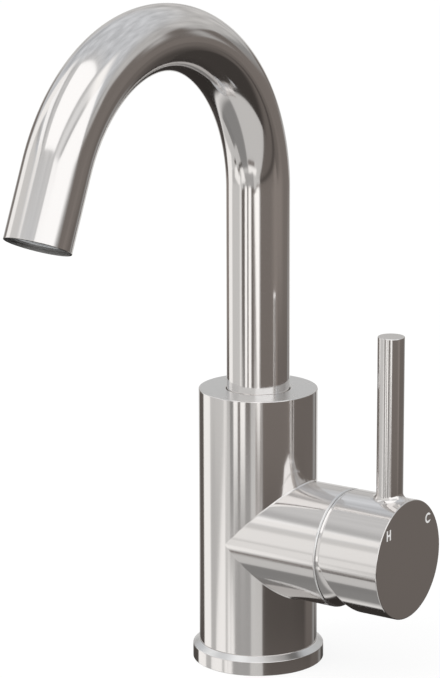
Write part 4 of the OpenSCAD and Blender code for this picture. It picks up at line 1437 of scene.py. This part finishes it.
FINISHES = {finish.slot: finish for finish in (
    Finish(Slot.CHROME, Texture.POLISHED, (0.785, 0.785, 0.785), (0.775, 0.775, 0.775), (0.004, 0.014),
           metallic=1.0, scale=60.0, relief=0.0000001),
    Finish(Slot.BRASS, Texture.TURNED, (0.78, 0.6, 0.32), (0.66, 0.49, 0.24), (0.22, 0.4),
           metallic=1.0, relief=0.00001),
    Finish(Slot.STEEL, Texture.TURNED, (0.6, 0.6, 0.61), (0.5, 0.5, 0.51), (0.22, 0.38),
           metallic=1.0, relief=0.00001),
    Finish(Slot.SPRING_STEEL, Texture.TURNED, (0.34, 0.34, 0.36), (0.26, 0.26, 0.28), (0.3, 0.45),
           metallic=1.0, relief=0.00001),
    Finish(Slot.RUBBER, Texture.MOULDED, (0.03, 0.03, 0.03), (0.045, 0.045, 0.045), (0.55, 0.75)),
    Finish(Slot.BEARING_PLASTIC, Texture.MOULDED, (0.85, 0.84, 0.78), (0.8, 0.79, 0.72), (0.35, 0.5)),
    Finish(Slot.CARTRIDGE_PLASTIC, Texture.MOULDED, (0.86, 0.87, 0.88), (0.8, 0.81, 0.83), (0.3, 0.45)),
    Finish(Slot.TURRET_PLASTIC, Texture.MOULDED, (0.22, 0.22, 0.24), (0.18, 0.18, 0.2), (0.3, 0.45)),
    Finish(Slot.RED_PLASTIC, Texture.MOULDED, (0.62, 0.05, 0.05), (0.52, 0.035, 0.035), (0.3, 0.45)),
    Finish(Slot.AERATOR_PLASTIC, Texture.MOULDED, (0.1, 0.1, 0.102), (0.075, 0.075, 0.078), (0.3, 0.45)),
    Finish(Slot.DISC_CERAMIC, Texture.POLISHED, (0.9, 0.89, 0.86), (0.86, 0.85, 0.82), (0.08, 0.16),
           coat=0.3),
    Finish(Slot.MARK_ENAMEL, Texture.MOULDED, (0.68, 0.67, 0.66), (0.64, 0.63, 0.62), (0.3, 0.4),
           coat=0.2),
)}

FACED = Finish(Slot.CHROME, Texture.TURNED, (0.785, 0.785, 0.785), (0.765, 0.765, 0.765), (0.26, 0.32),
               metallic=1.0, scale=60.0, relief=0.0000001, name="chrome_faced")
# A rough chrome for the outlet's cut end, its bore and the bush inside it. Its dark colour is painted shade for
# the inside of the outlet.
DULL_AND_SHADED = Finish(Slot.CHROME, Texture.TURNED, (0.34, 0.335, 0.33), (0.26, 0.255, 0.25), (0.35, 0.5),
                metallic=1.0, relief=0.000002, name="chrome_dulled")


def dress(piece: bpy.types.Object, slot: Slot, body: Body, *replaced: str) -> None:
    """Gives a finished piece the material of its slot and its body, and hides the nodes that it replaces.

    Args:
        piece: the piece.
        slot: its material slot.
        body: the body that it rides on.
        replaced: the nodes that it replaces.
    """
    piece.data.materials.clear()
    piece.data.materials.append(FINISHES[slot].material())
    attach(piece, body.value)
    if replaced:
        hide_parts(*replaced)


def dress_nodes() -> None:
    """Gives every node of the model the material of its slot, and the outlet's bush a duller one, darkened as
    painted shade.
    """
    slots = {part["node"]: Slot(part["material_slot"]) for part in frame["record"]["subparts"]}
    for name, node in frame["nodes"].items():
        node.data.materials.clear()
        # The bush inside the outlet takes the dark chrome, whose colour paints the shade there
        finish = DULL_AND_SHADED if name == "outlet_bush" else FINISHES[slots[name]]
        node.data.materials.append(finish.material())


class Side(Enum):
    """Where a panel of the studio hangs, and what its two places are measured in."""

    ROUND = "round"
    CEILING = "ceiling"
    FLOOR = "floor"


NEUTRAL = (1.0, 1.0, 1.0)
PALE = (1.0, 0.99, 0.975)
COOL = (0.97, 1.0, 1.04)
TAUPE = (1.13, 1.0, 0.92)
REFLECTANCE = 0.78
WHITE = 255


def seen(level: float, tint: tuple[float, float, float]) -> tuple[float, float, float]:
    """Gives the strength of a panel that shows as a certain grey in polished metal.

    Args:
        level: the grey that shows, from 0 to 255.
        tint: how much of red, green and blue.

    Returns:
        The panel's red, green and blue.
    """
    # The standard curve from a screen's grey to the light that it stands for
    share = level / WHITE
    linear = share / 12.92 if share <= 0.04045 else ((share + 0.055) / 1.055) ** 2.4
    return tuple(linear / REFLECTANCE * part for part in tint)


@dataclass(frozen=True)
class Panel:
    """A soft-edged panel of the studio, which only polished surfaces see.

    On the round wall it runs from one azimuth to another, in degrees from the front (-Y) towards
    the lever (+X), and from one elevation to another. On the ceiling and the floor it runs in room
    heights: to the lever's side first, then to the front. Its sides can lean, and its grey can drift
    up and down by a share of itself.
    """

    side: Side
    across: tuple[float, float]
    along: tuple[float, float]
    grey: float
    tint: tuple[float, float, float] = PALE
    soft: tuple[float, float] = (2.0, 1.0)
    lean: tuple[float, float] = (0.0, 0.0)
    mottle: float = 0.0


FAR = 60.0
LEAST_HEIGHT = 0.5 / FAR
OUT_OF_REACH = 1e6
WALL, TOP, DECK = Side.ROUND, Side.CEILING, Side.FLOOR

PANELS = (
    # The floor, dark towards the right and the back
    Panel(WALL, (41, 180), (-90, 30), 46, TAUPE, (2, 1)),
    Panel(WALL, (41, 180), (-42, 50), 95, TAUPE, (2, 44)),
    Panel(WALL, (136, 180), (-46, -22), 64, TAUPE, (36, 14)),
    # The ceiling: its large light, the grey round it, the strips at the left, the window at the right
    Panel(TOP, (-FAR, FAR), (-FAR, FAR), 193, COOL, (0.1, 0.1), mottle=0.5),
    Panel(TOP, (-FAR, FAR), (-FAR, -1.3), 180, PALE, (0.4, 1.4), mottle=0.5),
    Panel(TOP, (0.9, FAR), (-FAR, -0.9), 172, PALE, (1.2, 1.2), mottle=0.5),
    Panel(TOP, (-2.3, -1.1), (-1.1, -0.4), 176, COOL, (0.8, 0.5), mottle=0.5),
    Panel(TOP, (-0.9, 1.44), (-0.05, 1.7), 190, NEUTRAL, (0.1, 0.3), mottle=0.25),
    Panel(TOP, (-0.9, -0.72), (-0.05, 1.5), 168, NEUTRAL, (0.1, 0.2)),
    Panel(TOP, (0.75, 1.16), (0.0, 1.5), 214, NEUTRAL, (0.16, 0.3)),
    Panel(TOP, (1.22, 1.44), (0.4, 1.4), 170, NEUTRAL, (0.08, 0.3)),
    Panel(TOP, (0.72, 1.5), (-0.34, 0.08), 246, PALE, (0.24, 0.3)),
    Panel(TOP, (-0.46, 0.56), (0.03, 1.3), 253, NEUTRAL, (0.07, 0.05)),
    Panel(TOP, (-FAR, -2.0), (0.3, 3.0), 214, PALE, (0.5, 0.3)),
    Panel(TOP, (-2.0, -1.5), (0.38, 0.9), 166, PALE, (0.4, 0.4)),
    Panel(TOP, (-2.7, -0.88), (-0.2, 0.36), 238, PALE, (0.4, 0.14)),
    Panel(TOP, (-1.32, -0.87), (0.0, 1.5), 244, NEUTRAL, (0.12, 0.2)),
    Panel(TOP, (1.44, FAR), (-0.4, 3.0), 252, NEUTRAL, (0.06, 0.06)),
    Panel(TOP, (0.8, 1.6), (1.4, 3.0), 248, NEUTRAL, (0.1, 0.1)),
    Panel(TOP, (1.4, FAR), (-FAR, -0.3), 251, NEUTRAL, (0.25, 0.1), (3.85, 0)),
    # The walls above the horizon
    Panel(WALL, (-180, 42), (-9, 6), 160, PALE, (2, 12)),
    Panel(WALL, (41, 180), (-9, 4), 108, TAUPE, (2, 10)),
    Panel(WALL, (-180, -158), (-4, 5), 102, TAUPE, (8, 5)),
    Panel(WALL, (158, 180), (3, 9), 135, PALE, (8, 5)),
    Panel(WALL, (-163, -127), (-12, 5), 200, PALE, (8, 5)),
    Panel(WALL, (-122, -102), (-3, 12), 106, TAUPE, (6, 6)),
    Panel(WALL, (-99, -28), (-9, 26), 198, PALE, (5, 6)),
    Panel(WALL, (-46, -32), (26, 34), 232, PALE, (6, 4)),
    Panel(WALL, (-40, -28), (-3, 17), 224, PALE, (3, 5)),
    Panel(WALL, (-28, 26), (-9, 28), 214, PALE, (6, 4)),
    Panel(WALL, (24, 101.5), (-8, 28), 252, NEUTRAL, (4, 3)),
    Panel(WALL, (90, 108), (-6, 6), 150, PALE, (8, 7)),
    Panel(WALL, (106, 138), (-8, 7), 104, TAUPE, (8, 7)),
    Panel(WALL, (118, 135), (-8, 13), 104, TAUPE, (6, 6)),
    Panel(WALL, (140, 147.5), (-5, 18.5), 98, TAUPE, (4, 7)),
    Panel(WALL, (146, 149.5), (-3, 8), 165, PALE, (2, 4)),
    Panel(WALL, (150, 158), (1, 12), 98, TAUPE, (3, 4)),
    # The right of the room below the horizon
    Panel(WALL, (41, 180), (-17, -2), 106, TAUPE, (2, 4)),
    Panel(WALL, (88, 132), (-13, -7), 122, TAUPE, (24, 4)),
    Panel(WALL, (95, 108), (-16, -9), 122, TAUPE, (6, 2)),
    Panel(WALL, (109, 180), (-19.2, -12.6), 96, TAUPE, (4, 2)),
    Panel(WALL, (42, 140), (-19.5, -17.0), 64, TAUPE, (14, 1.6)),
    Panel(WALL, (168, 180), (-20, -11), 140, PALE, (8, 4)),
    # The left of the room below the horizon
    Panel(WALL, (-180, -97), (-90, -9), 120, TAUPE, (4, 2)),
    Panel(WALL, (-180, -99), (-90, -13.2), 82, TAUPE, (8, 1.6)),
    Panel(WALL, (-180, -99), (-90, -19), 64, TAUPE, (6, 1.5)),
    Panel(WALL, (-180, -126), (-90, -19), 44, TAUPE, (22, 2)),
    Panel(WALL, (-172, -125), (-18.4, -9), 200, PALE, (10, 3)),
    # The front of the room below the horizon
    Panel(WALL, (-74, 42), (-90, -6), 191, PALE, (2, 1)),
    Panel(WALL, (-74, -38), (-22, -15.8), 177, PALE, (2, 2)),
    Panel(WALL, (-97.5, -82), (-30, 44), 236, PALE, (4, 5), (0.0, 0.16)),
    # The floor's pale slab with its dark runner, and the dark behind it
    Panel(DECK, (-1.62, 1.8), (-0.13, 2.2), 187, PALE, (0.1, 0.1), (0, -0.09)),
    Panel(DECK, (-0.66, 0.05), (0.02, 1.72), 130, PALE, (0.1, 0.14)),
    Panel(DECK, (-0.97, -0.62), (0.02, 0.76), 124, PALE, (0.08, 0.1)),
    Panel(DECK, (-1.1, -0.6), (1.38, 1.6), 70, TAUPE, (0.1, 0.1)),
    Panel(DECK, (0.12, 0.8), (1.36, 1.58), 104, TAUPE, (0.08, 0.08)),
    Panel(DECK, (0.1, 1.15), (1.62, 2.06), 242, PALE, (0.14, 0.12)),
    Panel(DECK, (-1.05, -0.6), (1.66, 2.5), 240, PALE, (0.12, 0.12)),
    Panel(DECK, (-1.56, -1.28), (0.98, 1.2), 74, TAUPE, (0.1, 0.1)),
    Panel(DECK, (-1.45, -1.1), (1.5, 1.72), 105, TAUPE, (0.1, 0.1)),
    Panel(DECK, (-1.95, -1.45), (1.24, 1.8), 240, PALE, (0.12, 0.1)),
    Panel(DECK, (-2.3, -0.1), (-0.24, -0.08), 215, PALE, (0.2, 0.1)),
    Panel(DECK, (-0.35, 1.75), (-1.6, -0.15), 56, TAUPE, (0.6, 0.08)),
    Panel(DECK, (-1.4, 0.1), (-2.4, -0.22), 44, TAUPE, (0.6, 0.08)),
    # The front's bright strips
    Panel(WALL, (-36, -29), (-15.6, -6), 220, PALE, (2, 1.4)),
    Panel(WALL, (-22, -14), (-17.4, -13), 134, PALE, (3, 2)),
    Panel(WALL, (-27, -15), (-13.6, -6), 92, TAUPE, (3, 0.8)),
    Panel(WALL, (-12.5, 20), (-26, -14), 156, PALE, (3, 1.6)),
    Panel(WALL, (-14.5, -6), (-15.8, -6), 250, PALE, (1.6, 1.4)),
    Panel(WALL, (-5, -0.7), (-16.1, -6), 98, TAUPE, (1.4, 1)),
    Panel(WALL, (-0.5, 9), (-15.9, -6), 250, PALE, (1.6, 1.2)),
    Panel(WALL, (10, 19), (-15.2, -6), 96, TAUPE, (2, 1.6)),
    Panel(WALL, (29, 41), (-16.8, -14.2), 112, TAUPE, (2, 1)),
    Panel(WALL, (19, 32), (-13.6, -6), 110, TAUPE, (2, 1)),
    Panel(WALL, (9, 38), (-15.2, -6), 255, PALE, (1.6, 0.7), (2.65, 0)),
    Panel(WALL, (-38, -33), (-22.5, -15.8), 236, PALE, (2, 0.6), (-6.0, 0)),
    Panel(WALL, (-69, -58), (-23, -15), 176, PALE, (3, 1.4)),
    Panel(WALL, (-28, -21.4), (-28.5, -17.9), 236, PALE, (2, 0.5)),
    Panel(WALL, (-20.6, -17.5), (-21, -17.9), 238, PALE, (1.2, 0.4), (0, 2.6)),
)


@dataclass
class Studio:
    """The room that the metal mirrors, the pale floor, the lamp and the camera.

    The camera's angles are in degrees, and its picture is measured in pixels.
    """

    camera_azimuth: float = 34.135
    camera_pitch: float = 12.97
    camera_distance: float = 1.14668
    target_height: float = 0.136405
    target_side: float = 0.00177
    focal_pixels: float = 2859.95
    axis_pixel: tuple[float, float] = (262.575, 331.073)
    picture: tuple[float, float] = (440.0, 678.0)
    clip_start: float = 0.05
    horizon: float = 185.0
    fill: float = 0.9
    cloud_scale: float = 8.0
    floor_reach: float = 6.0
    floor_cloud: float = 3.0
    floor_greys: tuple[float, float] = (0.2, 0.22)
    floor_glow: float = 0.82
    floor_bounce: float = 0.85
    lamp_size: float = 0.9
    lamp_power: float = 6.0
    lamp_place: tuple[float, float, float] = (-0.5, -0.9, 1.3)

    def _panel_group(self) -> bpy.types.NodeTree:
        """Builds the node group that lays one panel over the colour behind it.

        Returns:
            The group.
        """
        tree = bpy.data.node_groups.new("studio_panel", "ShaderNodeTree")
        face = tree.interface
        for name in ("Across", "Along", "Left", "Right", "Low", "High", "Left Lean", "Right Lean",
                     "Side Soft", "End Soft"):
            face.new_socket(name, in_out="INPUT", socket_type="NodeSocketFloat")
        for name in ("Behind", "Shade"):
            face.new_socket(name, in_out="INPUT", socket_type="NodeSocketColor")
        face.new_socket("Colour", in_out="OUTPUT", socket_type="NodeSocketColor")
        t = Tree(tree)
        given = t.add("NodeGroupInput").outputs
        below = t.math("SUBTRACT", given["High"], given["Along"])
        left = t.math("ADD", t.math("MULTIPLY", below, given["Left Lean"]), given["Left"])
        right = t.math("ADD", t.math("MULTIPLY", below, given["Right Lean"]), given["Right"])
        sides = t.math("MULTIPLY", self._edge(t, given["Across"], left, given["Side Soft"], 0.5),
                       self._edge(t, given["Across"], right, given["Side Soft"], -0.5))
        ends = t.math("MULTIPLY", self._edge(t, given["Along"], given["Low"], given["End Soft"], 0.5),
                      self._edge(t, given["Along"], given["High"], given["End Soft"], -0.5))
        colour = t.blend(t.math("MULTIPLY", sides, ends), given["Behind"], given["Shade"])
        t.add("NodeGroupOutput", {"Colour": colour})
        return tree

    @staticmethod
    def _edge(t: Tree, value: bpy.types.NodeSocket, past: bpy.types.NodeSocket,
              soft: bpy.types.NodeSocket, half: float) -> bpy.types.NodeSocket:
        """Gives a soft step where a value passes another one.

        Args:
            t: the tree.
            value: the value.
            past: the value that it passes.
            soft: the step's width.
            half: 0.5 for a step up, -0.5 for a step down.

        Returns:
            The step, from 0 to 1.
        """
        reach = t.math("MULTIPLY", soft, half)
        limits = {"From Min": t.math("SUBTRACT", past, reach), "From Max": t.math("ADD", past, reach)}
        return t.add("ShaderNodeMapRange", {"Value": value, **limits}, interpolation_type="SMOOTHSTEP",
                     clamp=False).outputs[0]

    @staticmethod
    def _mottled(t: Tree, cloud: bpy.types.NodeSocket, shade: Sequence[float],
                 mottle: float) -> bpy.types.NodeSocket:
        """Gives a shade that drifts darker and lighter with a cloudy value.

        Args:
            t: the tree.
            cloud: the cloudy value.
            shade: the shade that it drifts round.
            mottle: the share of itself that it drifts by.

        Returns:
            The drifting shade.
        """
        darker, lighter = ([part * (1 + sign * mottle) for part in shade] for sign in (-1, 1))
        return t.blend(cloud, darker, lighter)

    def _places(self, t: Tree) -> dict[Side, tuple[bpy.types.NodeSocket, bpy.types.NodeSocket]]:
        """Measures the direction that is looked in.

        Args:
            t: the tree.

        Returns:
            Its two places on each side of the room.
        """
        parts = t.add("ShaderNodeSeparateXYZ", {0: t.add("ShaderNodeTexCoord").outputs["Generated"]}).outputs
        front = t.math("MULTIPLY", parts[1], -1.0)
        degrees = 360 / TURN
        azimuth = t.math("MULTIPLY", t.math("ARCTAN2", parts[0], front), degrees)
        elevation = t.math("MULTIPLY", t.math("ARCSINE", parts[2]), degrees)
        places = {Side.ROUND: (azimuth, elevation)}
        for side, sign in ((Side.CEILING, 1.0), (Side.FLOOR, -1.0)):
            height = t.math("MAXIMUM", t.math("MULTIPLY", parts[2], sign), LEAST_HEIGHT)
            ahead = t.math("DIVIDE", front, height)
            hidden = t.math("GREATER_THAN", t.math("MULTIPLY", parts[2], -sign), 0.0)
            ahead = t.math("MULTIPLY_ADD", hidden, OUT_OF_REACH, ahead)
            places[side] = (t.math("DIVIDE", parts[0], height), ahead)
        return places

    def world(self) -> None:
        """Builds the studio's surroundings: white to look at, panels in reflections, plain light."""
        world = bpy.data.worlds.new("studio")
        bpy.context.scene.world = world
        world.use_nodes = True
        world.node_tree.nodes.clear()
        t = Tree(world.node_tree)
        places, group = self._places(t), self._panel_group()
        base = t.add("ShaderNodeRGB")
        base.outputs[0].default_value = (*seen(self.horizon, PALE), 1)
        colour = base.outputs[0]
        cloud = t.add("ShaderNodeTexNoise", {"Vector": t.add("ShaderNodeTexCoord").outputs["Generated"],
                                             "Scale": self.cloud_scale, "Detail": 2.0}).outputs[0]
        for panel in PANELS:
            across, along = places[panel.side]
            node = t.add("ShaderNodeGroup", node_tree=group)
            values = {"Behind": colour, "Across": across, "Along": along, "Left": panel.across[0],
                      "Right": panel.across[1], "Low": panel.along[0], "High": panel.along[1],
                      "Left Lean": panel.lean[0], "Right Lean": panel.lean[1], "Side Soft": panel.soft[0],
                      "End Soft": panel.soft[1], "Shade": (*seen(panel.grey, panel.tint), 1)}
            t.fill(node, values)
            if panel.mottle:
                t.fill(node, {"Shade": self._mottled(t, cloud, values["Shade"], panel.mottle)})
            colour = node.outputs["Colour"]
        path = t.add("ShaderNodeLightPath").outputs
        seen_by_eye = t.add("ShaderNodeBackground", {"Color": (1, 1, 1, 1), "Strength": 1.0}).outputs[0]
        mirrored = t.add("ShaderNodeBackground", {"Color": colour, "Strength": 1.0}).outputs[0]
        plain = t.add("ShaderNodeBackground", {"Color": (1, 1, 1, 1), "Strength": self.fill}).outputs[0]
        shiny = t.math("MAXIMUM", path["Is Glossy Ray"], path["Is Transmission Ray"])
        behind = t.add("ShaderNodeMixShader", {0: shiny, 1: plain, 2: mirrored}).outputs[0]
        whole = t.add("ShaderNodeMixShader", {0: path["Is Camera Ray"], 1: behind, 2: seen_by_eye}).outputs[0]
        t.add("ShaderNodeOutputWorld", {"Surface": whole})

    def floor(self) -> None:
        """Lays a pale floor that shows only the part's soft shadow."""
        size = self.floor_reach
        mesh = bpy.data.meshes.new("floor")
        mesh.from_pydata([(-size, -size, 0), (size, -size, 0), (size, size, 0), (-size, size, 0)], [],
                         [(0, 1, 2, 3)])
        floor = bpy.data.objects.new("floor", mesh)
        bpy.context.scene.collection.objects.link(floor)
        material = bpy.data.materials.new("pale_floor")
        material.use_nodes = True
        material.node_tree.nodes.clear()
        t = Tree(material.node_tree)
        cloud = t.add("ShaderNodeTexNoise", {"Vector": t.add("ShaderNodeTexCoord").outputs["Object"],
                                             "Scale": self.floor_cloud}).outputs[0]
        shade = t.add("ShaderNodeMapRange", {"Value": cloud, "To Min": self.floor_greys[0],
                                             "To Max": self.floor_greys[1]}).outputs[0]
        matt = t.add("ShaderNodeBsdfDiffuse", {"Color": shade}).outputs[0]
        glow = t.add("ShaderNodeEmission", {"Color": (1, 1, 1, 1), "Strength": self.floor_glow}).outputs[0]
        both = t.add("ShaderNodeAddShader", {0: matt, 1: glow}).outputs[0]
        pale = t.add("ShaderNodeBsdfDiffuse", {"Color": (self.floor_bounce,) * 3 + (1.0,)}).outputs[0]
        path = t.add("ShaderNodeLightPath").outputs
        looked_at = t.math("MAXIMUM", path["Is Camera Ray"], path["Is Transmission Ray"])
        whole = t.add("ShaderNodeMixShader", {0: looked_at, 1: pale, 2: both}).outputs[0]
        t.add("ShaderNodeOutputMaterial", {"Surface": whole})
        mesh.materials.append(material)
        floor.visible_glossy = False

    def lamp(self) -> None:
        """Hangs one large soft lamp above and in front of the part."""
        light = bpy.data.lights.new("soft_lamp", "AREA")
        light.shape = "DISK"
        light.size = self.lamp_size
        light.energy = self.lamp_power
        lamp = bpy.data.objects.new("soft_lamp", light)
        lamp.location = self.lamp_place
        aim = -np.array(lamp.location) + np.array([0, 0, self.target_height])
        lamp.rotation_euler = aimed(aim)
        lamp.visible_glossy = False
        lamp.visible_camera = False
        bpy.context.scene.collection.objects.link(lamp)

    def camera(self) -> None:
        """Places the camera at the photographed angle."""
        turn, pitch = math.radians(self.camera_azimuth), math.radians(self.camera_pitch)
        level = math.cos(pitch)
        ahead = np.array([-math.sin(turn) * level, math.cos(turn) * level, -math.sin(pitch)])
        right = np.array([math.cos(turn), math.sin(turn), 0])
        target = np.array([0, 0, self.target_height]) + self.target_side * right
        data = bpy.data.cameras.new("camera")
        data.sensor_fit = "AUTO"
        longest = max(self.picture)
        data.lens = self.focal_pixels / longest * data.sensor_width
        data.shift_x = (self.picture[0] / 2 - self.axis_pixel[0]) / longest
        data.shift_y = (self.axis_pixel[1] - self.picture[1] / 2) / longest
        data.clip_start = self.clip_start
        camera = bpy.data.objects.new("camera", data)
        camera.location = target - ahead * self.camera_distance
        camera.rotation_euler = aimed(ahead)
        bpy.context.scene.collection.objects.link(camera)
        bpy.context.scene.camera = camera

    def build(self) -> None:
        """Builds the whole studio."""
        self.camera()
        self.world()
        self.floor()
        self.lamp()
        bpy.context.scene.view_settings.view_transform = "Standard"


def aimed(ahead: np.ndarray) -> Euler:
    """Gives the turn of an object that looks along a direction, upright."""
    return Vector([float(v) for v in ahead]).to_track_quat("-Z", "Y").to_euler()


def main() -> None:
    """Sets up the studio, dresses the model's nodes and builds the pieces."""
    logging.basicConfig(level=logging.INFO, format="%(name)s: %(message)s")
    Studio().build()
    dress_nodes()
    for assembly in (TapBody(), Handle(), Spout()):
        assembly.build()


if __name__ == "__main__":
    main()
